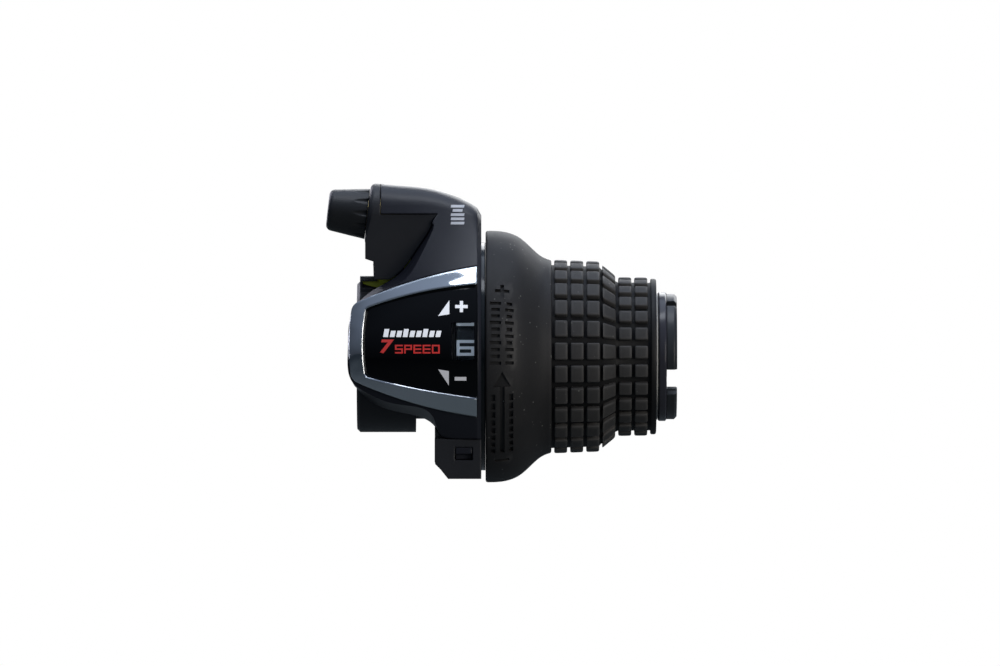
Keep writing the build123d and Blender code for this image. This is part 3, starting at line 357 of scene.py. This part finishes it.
chrome = Paint("bezel_chrome", (0.80, 0.82, 0.86), 0.06, metallic=1.0)
chrome.set("Roughness", chrome.noise(0.003) * 0.05 + 0.04)
ripple = chrome.noise(0.009, detail=1.0, stretch=(0.5, 1, 1))
chrome.bump(ripple, 0.0009, under=chrome.soften(0.0007))
streak = chrome.noise(0.012, detail=2.0, stretch=(0.35, 1, 1))
chrome.set("Base Color", chrome.blend(streak, (0.92, 0.93, 1.0), (0.60, 0.68, 0.66)))
steel = Paint("steel", (0.56, 0.57, 0.58), 0.3, metallic=1.0)
bolt = Paint("bolt_steel", (0.04, 0.04, 0.045), 0.35, metallic=1.0)
zinc = Paint("zinc_steel", (0.78, 0.84, 0.10), 0.36, metallic=0.7)
brass = Paint("brass", (0.75, 0.58, 0.28), 0.25, metallic=1.0)

# %% The finish of each CAD node
FINISHES = (
    (housing, "base_housing cable_port_plug"),
    (cover, "top_cover"),
    (chrome, "chrome_bezel"),
    (sleeve, "bar_sleeve grip_pipe"),
    (steel, "sleeve_screws cover_screw cable_guide detent_spring detent_spring_screw detent_roller"),
    (bolt, "clamp_bolt"),
    (zinc, "clamp_nut nut_plate"),
    (brass, "adjuster_insert adjuster_screw"),
    (natural, "thrust_washer adjuster_detent_ring cable_spool index_ring"),
    (clip, "retaining_clip"),
    (dial, "gear_dial"),
    (knob, "adjuster_knob"),
)
for paint, names in FINISHES:
    for name in names.split():
        dress(name, paint)
    print(paint.material.name, "on", names)

# %% [markdown]
# ## Modelling by hand
#
# The pieces below are modelled as one would at the screen: add a primitive at its size and place, go
# into edit mode, select by place or direction, and extrude, inset or bevel. These helpers say that in
# few words. `settle` ends a piece: it puts its place into its mesh, gives it a finish and ties it to a
# body of the frame.


# %% Modelling helpers
def select(piece, kind, test):
    """Selects the vertices or faces that pass a test, and leaves the piece in edit mode."""
    bpy.ops.object.mode_set(mode="EDIT")
    bpy.ops.mesh.select_mode(type=kind)
    bpy.ops.mesh.select_all(action="DESELECT")
    bpy.ops.object.mode_set(mode="OBJECT")
    if kind == "VERT":
        for vertex in piece.data.vertices:
            vertex.select = test(vertex.co)
    else:
        for face in piece.data.polygons:
            face.select = test(face)
    bpy.ops.object.mode_set(mode="EDIT")


def modify(piece, kind, **settings):
    """Adds a modifier and applies it."""
    modifier = piece.modifiers.new(kind.title(), kind)
    for name, value in settings.items():
        setattr(modifier, name, value)
    bpy.context.view_layer.objects.active = piece
    bpy.ops.object.modifier_apply(modifier=modifier.name)


def joined(pieces, name):
    """Joins pieces into the first of them."""
    bpy.ops.object.select_all(action="DESELECT")
    for piece in pieces:
        piece.select_set(True)
    bpy.context.view_layer.objects.active = pieces[0]
    if len(pieces) > 1:
        bpy.ops.object.join()
    pieces[0].name = name
    return pieces[0]


def settle(piece, paint, body, smooth=35):
    """Applies the piece's place, and gives it its finish and body."""
    bpy.ops.object.select_all(action="DESELECT")
    piece.select_set(True)
    bpy.context.view_layer.objects.active = piece
    bpy.ops.object.transform_apply(location=True, rotation=True, scale=True)
    bpy.ops.object.shade_smooth_by_angle(angle=math.radians(smooth))
    piece.data.materials.clear()
    piece.data.materials.append(paint.material)
    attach(piece, body)
    piece.select_set(False)
    print(piece.name, len(piece.data.polygons), "faces")


def spun(name, outline, steps):
    """A closed outline of (x, radius) corners in mm, drawn corner by corner and spun round the bar."""
    bpy.ops.mesh.primitive_plane_add(size=MM)
    piece = bpy.context.object
    piece.name = name
    bpy.ops.object.mode_set(mode="EDIT")
    bpy.ops.mesh.select_mode(type="VERT")
    bpy.ops.mesh.merge(type="CENTER")
    x, radius = outline[0]
    bpy.ops.transform.translate(value=(x * MM, 0, radius * MM))
    for (x0, r0), (x1, r1) in zip(outline, outline[1:] + outline[:1]):
        bpy.ops.mesh.extrude_region_move(
            TRANSFORM_OT_translate={"value": ((x1 - x0) * MM, 0, (r1 - r0) * MM)}
        )
    bpy.ops.mesh.select_all(action="SELECT")
    bpy.ops.mesh.remove_doubles(threshold=0.00001)
    bpy.ops.mesh.spin(steps=steps, angle=math.tau, center=(0, 0, 0), axis=(1, 0, 0))
    bpy.ops.mesh.select_all(action="SELECT")
    bpy.ops.mesh.remove_doubles(threshold=0.00001)
    bpy.ops.mesh.normals_make_consistent(inside=False)
    bpy.ops.object.mode_set(mode="OBJECT")
    return piece


# %% [markdown]
# ## The rubber grip
#
# The grip is one soft moulding: a smooth collar that the thumb rests on, then six rings of small blocks
# that step down a slope to the outboard end. The sleeve under the blocks is spun from its outline. The
# outline follows the frame's own corners, with the floor of the grooves where the blocks stand.

# %% The grip's sleeve
COLLAR_FRONT = 22.25
COLLAR_RADIUS = 28.3
COLLAR_END = 37.0
BLOCK_PITCH = 3.6
RING_GROOVE = 0.7
ROWS = 26
ROW_GROOVE = 1.4
ROW_PHASE = 3.3
GROOVE_DEPTH = 1.1
SURFACE = [(37.0, 21.7), (47.8, 21.3), (48.1, 20.9), (51.4, 18.1), (52.0, 17.8), (60.0, 17.7)]
COLUMNS = 6


def surface(x):
    """Radius of the blocks' tops at x, in mm."""
    for (x0, r0), (x1, r1) in zip(SURFACE, SURFACE[1:]):
        if x <= x1:
            return r0 + (r1 - r0) * (x - x0) / (x1 - x0)
    return SURFACE[-1][1]


def eased(start, end, depart, arrive, steps):
    """Points of a curve between two (x, radius) corners, with the slopes it leaves and arrives with."""
    points = []
    span = end[0] - start[0]
    for step in range(1, steps):
        t = step / steps
        height = (2 * t**3 - 3 * t**2 + 1) * start[1] + (3 * t**2 - 2 * t**3) * end[1]
        height += span * ((t**3 - 2 * t**2 + t) * depart + (t**3 - t**2) * arrive)
        points.append((start[0] + span * t, height))
    return points


shoulder = (29.5, 27.0)
hollow = (33.9, 23.2)
outline = [(COLLAR_FRONT, 24.9), (COLLAR_FRONT, 27.8), (COLLAR_FRONT + 0.1, 28.1)]
outline += [(COLLAR_FRONT + 0.3, 28.25), (COLLAR_FRONT + 0.6, COLLAR_RADIUS)]
outline += eased(outline[-1], shoulder, 0.0, -0.55, 7) + [shoulder]
outline += eased(shoulder, hollow, -0.55, -0.85, 5) + [hollow]
outline += eased(hollow, (36.7, 21.75), -0.85, -0.25, 5)
outline += [(36.7, 21.75), (36.95, 21.6), (37.05, 21.3), (37.05, 21.7 - GROOVE_DEPTH)]
outline += [(x, radius - GROOVE_DEPTH) for x, radius in SURFACE[1:-1]]
outline += [(59.3, 16.6), (59.3, 17.3), (59.5, 17.5), (60.2, 17.5)]
outline += [(60.5, 17.35), (60.6, 17.0), (60.6, 14.65)]
outline += [(51.8, 14.65), (47.8, 18.0), (37.0, 18.35), (34.0, 20.2), (31.0, 23.1), (26.5, 24.6)]
grip_sleeve = spun("grip_sleeve", outline, 130)
print("sleeve corners:", len(outline))

# %% [markdown]
# The collar carries moulded marks that show which way to turn: a plus and a minus, an arrow and two
# rows of ticks. They are cut into the rubber with one Boolean, by bars that stand round the front.

# %% Marks cut into the collar
MARK_DEPTH = 0.55
MARK_X = 26.0
SIGN_LENGTH = 3.2
SIGN_STROKE = 0.85
PLUS_ANGLE = 31.5
ARROW_ANGLE = -11.5
MINUS_ANGLE = -55.5
cutters = []


def collar_radius(x):
    """Radius of the collar at x, in mm, from the sleeve's outline."""
    for (x0, r0), (x1, r1) in zip(outline[3:], outline[4:]):
        if x0 <= x <= x1:
            return r0 + (r1 - r0) * (x - x0) / (x1 - x0)
    return COLLAR_RADIUS


def mark(x, angle, length, width, corners=4):
    """A bar, or a triangle, that reaches into the collar at x mm and an angle up from the front."""
    turn = math.radians(angle)
    radius = (collar_radius(x + length / 4) + 1.0 - MARK_DEPTH) * MM
    place = (x * MM, -radius * math.cos(turn), radius * math.sin(turn))
    if corners == 4:
        bpy.ops.mesh.primitive_cube_add(size=1, location=place, rotation=(-turn, 0, 0))
        bpy.context.object.scale = (length * MM, 2 * MM, width * MM)
    else:
        bpy.ops.mesh.primitive_cylinder_add(
            vertices=3, radius=length * MM, depth=2 * MM, location=place, rotation=(math.pi / 2 - turn, 0, 0)
        )
        bpy.context.object.scale = (1, width, 1)
    bpy.ops.object.transform_apply(location=True, rotation=True, scale=True)
    cutters.append(bpy.context.object)


for tick in range(10):
    mark(24.5, 25 - 3.1 * tick, 1.9 if tick % 3 else 2.5, 0.75)
    mark(27.6, 25 - 3.1 * tick, 1.9 if tick % 2 else 1.2, 0.75)
mark(MARK_X, PLUS_ANGLE, SIGN_LENGTH, SIGN_STROKE)
mark(MARK_X, PLUS_ANGLE, SIGN_STROKE, SIGN_LENGTH)
mark(MARK_X, ARROW_ANGLE, 2.3, 1.0, corners=3)
for step in range(14):
    mark(MARK_X, -14.5 - 2.6 * step, 1.1, 1.6)
for side in (24.0, 28.0):
    for tick in range(8):
        mark(side, -19.0 - 4.2 * tick, 0.9, 1.5)
mark(MARK_X, MINUS_ANGLE, SIGN_LENGTH, SIGN_STROKE)
print("marks:", len(cutters))
marks = joined(cutters, "marks")
modify(grip_sleeve, "BOOLEAN", operation="DIFFERENCE", object=marks, solver="EXACT", use_self=True)
bpy.data.objects.remove(marks)

# %% [markdown]
# One row of blocks is modelled, a block at a time: a cube is placed, its outboard end is lowered and
# narrowed where the grip slopes, its edges are bevelled as a mould leaves them, and its top is inset
# and raised a little. The row is then copied round the grip.

# %% A row of blocks
ROOT = 0.3
BLOCK_EDGE = 0.34
CROWN = 0.06
TOP_INSET = 0.42


def width_at(radius):
    """Width of a block across its row, in mm."""
    return math.tau * radius / ROWS - ROW_GROOVE


def grip_block(left, right):
    """One block between two stations, in mm, standing on the top of the bar."""
    tops = (surface(left + 0.05), surface(right - 0.05))
    floor_height = min(tops) - GROOVE_DEPTH - ROOT
    middle = (left + right) / 2
    bpy.ops.mesh.primitive_cube_add(size=1, location=(middle * MM, 0, (tops[0] + floor_height) / 2 * MM))
    block = bpy.context.object
    block.scale = ((right - left) * MM, width_at(tops[0]) * MM, (tops[0] - floor_height) * MM)
    bpy.ops.object.transform_apply(location=True, rotation=True, scale=True)
    select(block, "VERT", lambda co: co.x > middle * MM)
    bpy.ops.transform.resize(value=(1, width_at(tops[1]) / width_at(tops[0]), 1))
    select(block, "VERT", lambda co: co.x > middle * MM and co.z > (floor_height + 0.1) * MM)
    bpy.ops.transform.translate(value=(0, 0, (tops[1] - tops[0]) * MM))
    bpy.ops.mesh.select_all(action="SELECT")
    bpy.ops.mesh.bevel(offset=BLOCK_EDGE * MM, segments=3, affect="EDGES")
    select(block, "FACE", lambda face: face.normal.z > 0.6 and face.area > 1.5 * MM * MM)
    bpy.ops.mesh.inset(thickness=TOP_INSET * MM)
    bpy.ops.transform.translate(value=(0, 0, CROWN * MM))
    bpy.ops.object.mode_set(mode="OBJECT")
    return block


row = []
for column in range(COLUMNS):
    start = COLLAR_END + column * BLOCK_PITCH + RING_GROOVE
    row.append(grip_block(start, start + BLOCK_PITCH - RING_GROOVE))
first_row = joined(row, "block_row")
print("faces in a row:", len(first_row.data.polygons))

# %% The rows round the grip
rows = [first_row]
for _ in range(1, ROWS):
    copy = first_row.copy()
    copy.data = first_row.data.copy()
    scene.collection.objects.link(copy)
    rows.append(copy)
for number, copy in enumerate(rows):
    copy.rotation_euler = (math.radians(90 - ROW_PHASE + number * 360 / ROWS), 0, 0)
    bpy.ops.object.select_all(action="DESELECT")
    copy.select_set(True)
    bpy.context.view_layer.objects.active = copy
    bpy.ops.object.transform_apply(location=False, rotation=True, scale=False)
grip_blocks = joined(rows, "grip_blocks")
print("faces in all rows:", len(grip_blocks.data.polygons))

# %% [markdown]
# The rubber is a dull charcoal. Handling has polished the blocks' edges a little lighter, fine dust lies on the
# collar, and the whole has the very fine grain of a sand-blasted mould. The blocks are painted lighter than the
# collar, as painted light, and the floor of the grooves near-black, as painted shade.

# %% Rubber
def rubber_finish(name, colour, worn, dusty):
    """Dull rubber with a fine grain, worn edges and specks of dust."""
    paint = Paint(name, colour, 0.6, specular=0.35)
    cloud = paint.noise(0.006, detail=3.0)
    grain = paint.noise(0.00022, detail=2.0)
    edge = paint.node("ShaderNodeNewGeometry", output="Pointiness")
    rim = paint.node("ShaderNodeMapRange", Value=edge, From_Min=0.51, From_Max=0.60)
    specks = paint.node("ShaderNodeTexVoronoi", Vector=paint.place(), Scale=1.0 / 0.0011, output="Distance")
    scatter = paint.noise(0.0024, detail=2.0)
    near = paint.node("ShaderNodeMapRange", Value=specks, From_Min=0.20, From_Max=0.08)
    here = paint.node("ShaderNodeMapRange", Value=scatter, From_Min=0.56, From_Max=0.64)
    tone = paint.blend(rim * 0.6 + cloud * 0.3, colour, worn)
    paint.set("Base Color", paint.blend(near * here * dusty, tone, (0.22, 0.22, 0.20)))
    paint.set("Roughness", cloud * 0.2 + 0.5 - rim * 0.08)
    paint.bump(grain, 0.00002)
    return paint


rubber = rubber_finish("grip_rubber", (0.0150, 0.0148, 0.0155), (0.048, 0.046, 0.044), 1.0)
# The blocks' rubber is painted lighter than the collar's, though it is the same rubber: painted light, standing
# in for a frontal lamp.
lit_block_rubber = rubber_finish("lit_block_rubber", (0.0280, 0.0272, 0.0262), (0.120, 0.116, 0.110), 0.8)
settle(grip_sleeve, rubber, "grip")
settle(grip_blocks, lit_block_rubber, "grip", smooth=50)
# The floor of the grooves among the blocks gets a near-black copy of the rubber: painted shade, where little
# light reaches between the blocks.
select(grip_sleeve, "FACE", lambda face: face.center.x > 37.0 * MM and face.center.yz.length < 21.0 * MM)
bpy.ops.object.mode_set(mode="OBJECT")
groove_painted_shade = rubber_finish("groove_painted_shade", (0.0035, 0.0035, 0.0037), (0.008, 0.008, 0.008), 0.2)
grip_sleeve.data.materials.append(groove_painted_shade.material)
for face in grip_sleeve.data.polygons:
    face.material_index = 1 if face.select else 0
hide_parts("rubber_grip")

# %% [markdown]
# ## The display
#
# The lens is one black-backed clear moulding. A small window at its right is left clear, and the
# number of the gear shows through it, printed on the dial inside. The dial turns with the grip, so the
# numbers are pieces of their own that ride on the grip. They are 15 degrees apart.

# %% Numbers on the dial
DIAL_RADIUS = 25.6
NUMBER_HEIGHT = 3.5
NUMBER_X = 17.8
NUMBER_WIDTH = 3.9
NUMBER_STROKE = 0.66
GEAR_STEP = 15
GEAR_SHOWN = 6
SHOWN_ANGLE = 4.4


def lettering(text, height, widen=1.0, bold=0.0, lean=0.0):
    """A word or a number as a mesh, facing the front, with its middle at the origin. Sizes are in mm."""
    bpy.ops.object.text_add()
    piece = bpy.context.object
    piece.data.body = text
    piece.data.align_x = "CENTER"
    piece.data.align_y = "CENTER"
    piece.data.size = height * 1.38 * MM
    piece.data.offset = bold * MM
    piece.data.shear = lean
    piece.data.resolution_u = 6
    bpy.ops.object.convert(target="MESH")
    piece = bpy.context.object
    piece.rotation_euler = (math.pi / 2, 0, 0)
    piece.scale = (widen, 1, 1)
    bpy.ops.object.transform_apply(location=False, rotation=True, scale=True)
    bpy.ops.object.mode_set(mode="EDIT")
    bpy.ops.mesh.select_all(action="SELECT")
    bpy.ops.mesh.remove_doubles(threshold=0.000005)
    bpy.ops.mesh.quads_convert_to_tris()
    bpy.ops.mesh.subdivide(number_cuts=2)
    bpy.ops.object.mode_set(mode="OBJECT")
    low = Vector([min(v.co[i] for v in piece.data.vertices) for i in range(3)])
    high = Vector([max(v.co[i] for v in piece.data.vertices) for i in range(3)])
    piece.location = -(low + high) / 2
    bpy.ops.object.transform_apply(location=True, rotation=False, scale=False)
    return piece


print_pale = Paint("number_print", (0.52, 0.60, 0.72), 0.35)
print_pale.set("Roughness", print_pale.noise(0.001) * 0.2 + 0.3)
# The dial's numbers glow a little: painted light, as they are no lamp.
print_pale.glow((0.42, 0.50, 0.58), 0.35)
# Square characters are made of bars. Each bar: its middle, then its size, as shares of the character.
BARS = {
    "top": ((0, 0.5), (1, 0)),
    "middle": ((0, 0), (1, 0)),
    "foot": ((0, -0.5), (1, 0)),
    "upper_left": ((-0.5, 0.25), (0, 0.5)),
    "upper_right": ((0.5, 0.25), (0, 0.5)),
    "lower_left": ((-0.5, -0.25), (0, 0.5)),
    "lower_right": ((0.5, -0.25), (0, 0.5)),
}
SHAPES = {
    "1": "upper_right lower_right",
    "2": "top upper_right middle lower_left foot",
    "3": "top upper_right middle lower_right foot",
    "4": "upper_left middle upper_right lower_right",
    "5": "top upper_left middle lower_right foot",
    "6": "top upper_left middle lower_left lower_right foot",
    "7": "top upper_right lower_right",
    "S": "top upper_left middle lower_right foot",
    "P": "top upper_left upper_right middle lower_left",
    "E": "top upper_left middle lower_left foot",
    "D": "top upper_left upper_right lower_left lower_right foot",
}


def square_bars(character, width, height, stroke):
    """The bars of a square character, as (across, up, length, width) in mm about its middle."""
    inner, rise = width - stroke, height - stroke
    for kind in SHAPES[character].split():
        (across, up), (along, tall) = BARS[kind]
        yield across * inner, up * rise, along * inner + stroke, tall * rise + stroke


numbers = []
for gear in range(1, 8):
    for across, up, length, width in square_bars(str(gear), NUMBER_WIDTH, NUMBER_HEIGHT, NUMBER_STROKE):
        angle = math.radians(SHOWN_ANGLE + (GEAR_SHOWN - gear) * GEAR_STEP) + up / DIAL_RADIUS
        radius = DIAL_RADIUS * MM
        place = ((NUMBER_X + across) * MM, -radius * math.cos(angle), radius * math.sin(angle))
        bpy.ops.mesh.primitive_cube_add(size=1, location=place, rotation=(-angle, 0, 0))
        stroke = bpy.context.object
        stroke.scale = (length * MM, 0.12 * MM, width * MM)
        bpy.ops.object.transform_apply(location=True, rotation=True, scale=True)
        bpy.ops.object.mode_set(mode="EDIT")
        bpy.ops.mesh.bevel(offset=0.05 * MM, segments=2)
        bpy.ops.object.mode_set(mode="OBJECT")
        numbers.append(stroke)
dial_numbers = joined(numbers, "dial_numbers")
settle(dial_numbers, print_pale, "grip", smooth=30)

# %% [markdown]
# The signs on the lens are thin films laid on its front. Each starts as a flat mesh in front of the
# display and is wrapped onto the lens along Y, then given a hair's thickness.

# %% Signs on the lens
FILM = 0.04


def laid(piece, node, lift=0.03):
    """Lays a flat mesh onto the front of a CAD node."""
    piece.location.y -= 60 * MM
    bpy.ops.object.select_all(action="DESELECT")
    piece.select_set(True)
    bpy.context.view_layer.objects.active = piece
    bpy.ops.object.transform_apply(location=True, rotation=True, scale=True)
    modify(
        piece,
        "SHRINKWRAP",
        target=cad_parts[node],
        wrap_method="PROJECT",
        use_project_y=True,
        use_positive_direction=True,
        use_negative_direction=False,
        offset=lift * MM,
    )
    modify(piece, "SOLIDIFY", thickness=FILM * MM, offset=0)
    return piece


def film(corners, cuts=4):
    """A flat film in front of the display, from its (x, z) corners in mm."""
    middle = Vector((sum(x for x, z in corners), 0, sum(z for x, z in corners))) / len(corners) * MM
    bpy.ops.mesh.primitive_circle_add(
        vertices=len(corners), radius=MM, fill_type="NGON", location=middle, rotation=(math.pi / 2, 0, 0)
    )
    piece = bpy.context.object
    bpy.ops.object.transform_apply(location=True, rotation=True, scale=True)
    for number, (x, z) in enumerate(corners):
        here = piece.data.vertices[number].co.copy()
        select(piece, "VERT", lambda co: (co - here).length < 0.01 * MM)
        bpy.ops.transform.translate(value=(x * MM - here.x, 0, z * MM - here.z))
        bpy.ops.object.mode_set(mode="OBJECT")
    bpy.ops.object.mode_set(mode="EDIT")
    bpy.ops.mesh.select_all(action="SELECT")
    bpy.ops.mesh.quads_convert_to_tris()
    bpy.ops.mesh.subdivide(number_cuts=cuts)
    bpy.ops.object.mode_set(mode="OBJECT")
    return piece


def bar(x, z, length, width, slant=0.0):
    """A flat bar about a middle, in mm; slant moves its upper edge to the right."""
    half_length, half_width = length / 2, width / 2
    return film(
        [
            (x - half_length - slant, z - half_width),
            (x + half_length - slant, z - half_width),
            (x + half_length + slant, z + half_width),
            (x - half_length + slant, z + half_width),
        ]
    )


def signs(pieces, name, paint, node="display_lens"):
    """Lays films and joins them into one piece."""
    settle(joined([laid(piece, node) for piece in pieces], name), paint, "bracket", smooth=60)


# Each print glows a little: painted light, as prints are no lamp.
print_white = Paint("white_print", (0.90, 0.92, 0.94), 0.25, coat=1.0)
print_white.glow((0.9, 0.93, 1.0), 0.45)
print_grey = Paint("grey_print", (0.55, 0.55, 0.57), 0.25, coat=1.0)
print_grey.glow((0.7, 0.7, 0.73), 0.28)
print_red = Paint("red_print", (0.70, 0.040, 0.036), 0.25, coat=1.0)
print_red.glow((0.8, 0.06, 0.05), 0.22)
for paint in (print_white, print_grey, print_red):
    paint.set("Roughness", paint.noise(0.0015) * 0.15 + 0.15)

# %% The signs and the count of gears
up_sign = [film([(11.7, 9.1), (14.2, 9.5), (14.2, 12.6)])]
up_sign += [bar(16.9, 11.2, 2.8, 0.72), bar(16.9, 11.2, 0.72, 2.5)]
signs(up_sign, "up_sign", print_white)
down_sign = [film([(11.7, -2.8), (14.1, -6.4), (14.1, -3.2)]), bar(16.7, -4.9, 2.6, 0.8)]
signs(down_sign, "down_sign", print_grey)
name_bars = []
for step in range(9):
    tall = 1.8 if step % 3 == 0 else 1.4
    name_bars.append(bar(0.1 + 1.46 * step, 4.4 + tall / 2, 1.05, tall, slant=0.16))
signs(name_bars, "white_bars", print_white)
seven = lettering("7", 2.95, 1.3, bold=0.12, lean=0.15)
seven.location = (0.3 * MM, 0, 2.3 * MM)
speed = []
for number, letter in enumerate("SPEED"):
    for across, up, length, width in square_bars(letter, 1.75, 1.95, 0.34):
        speed.append(bar(2.95 + 2.06 * number + across, 1.7 + up, length, width))
signs([seven] + speed, "gear_count", print_red)

# %% [markdown]
# The lens itself is glossy and black-backed, and clear only in the window.

# %% Lens
WINDOW = ((14.7, 19.8), (-0.8, 7.6))
lens = Paint("lens", (0.0022, 0.0026, 0.0032), 0.04, specular=0.24)
lens.set("Roughness", lens.noise(0.006) * 0.03 + 0.03)
across = lens.node("ShaderNodeSeparateXYZ", output="X", Vector=lens.place())
height = lens.node("ShaderNodeSeparateXYZ", output="Z", Vector=lens.place())
(low_x, high_x), (low_z, high_z) = WINDOW


def inside(value, low, high):
    """1 between two heights in mm, and 0 outside."""
    rise = lens.node("ShaderNodeMapRange", Value=value, From_Min=(low - 0.08) * MM, From_Max=(low + 0.08) * MM)
    fall = lens.node("ShaderNodeMapRange", Value=value, From_Min=(high + 0.08) * MM, From_Max=(high - 0.08) * MM)
    return rise * fall


window = inside(across, low_x, high_x) * inside(height, low_z, high_z)
clear = lens.node(
    "ShaderNodeBsdfPrincipled",
    Base_Color=(0.93, 0.95, 0.97, 1.0),
    Transmission_Weight=1.0,
    Roughness=0.02,
    IOR=1.2,
)
backed = Value(lens.tree, lens.shader.outputs[0])
lens.finish(lens.node("ShaderNodeMixShader", sockets={0: window, 1: backed, 2: clear}))
dress("display_lens", lens)
print("window, in mm:", WINDOW)

# %% [markdown]
# ## Marks on the housing
#
# The cover carries small silver prints. They are plain bars here.

# %% Silver marks
silver = Paint("silver_print", (0.60, 0.62, 0.66), 0.3)
silver.set("Roughness", silver.noise(0.0012) * 0.25 + 0.2)
plates = [bar(16.0, 29.9 + 0.95 * k, 3.0 if k != 3 else 2.2, 0.6, slant=0.05) for k in range(5)]
signs(plates, "silver_bars", silver, "top_cover")

# %% [markdown]
# Where the cover's flank meets the web, light would show through the seam. A small rib stands behind
# the seam there, as a moulder would put one.

# %% Rib behind the seam
RIB_SIZE = (2.6, 1.2, 4.4)
RIB_EDGE = 0.25
bpy.ops.mesh.primitive_cube_add(size=1, location=(6.3 * MM, -9.4 * MM, 23.0 * MM))
rib = bpy.context.object
rib.name = "seam_rib"
rib.scale = [side * MM for side in RIB_SIZE]
bpy.ops.object.transform_apply(location=False, rotation=False, scale=True)
bpy.ops.object.mode_set(mode="EDIT")
bpy.ops.mesh.select_all(action="SELECT")
bpy.ops.mesh.bevel(offset=RIB_EDGE * MM, segments=3)
bpy.ops.object.mode_set(mode="OBJECT")
settle(rib, housing, "bracket")
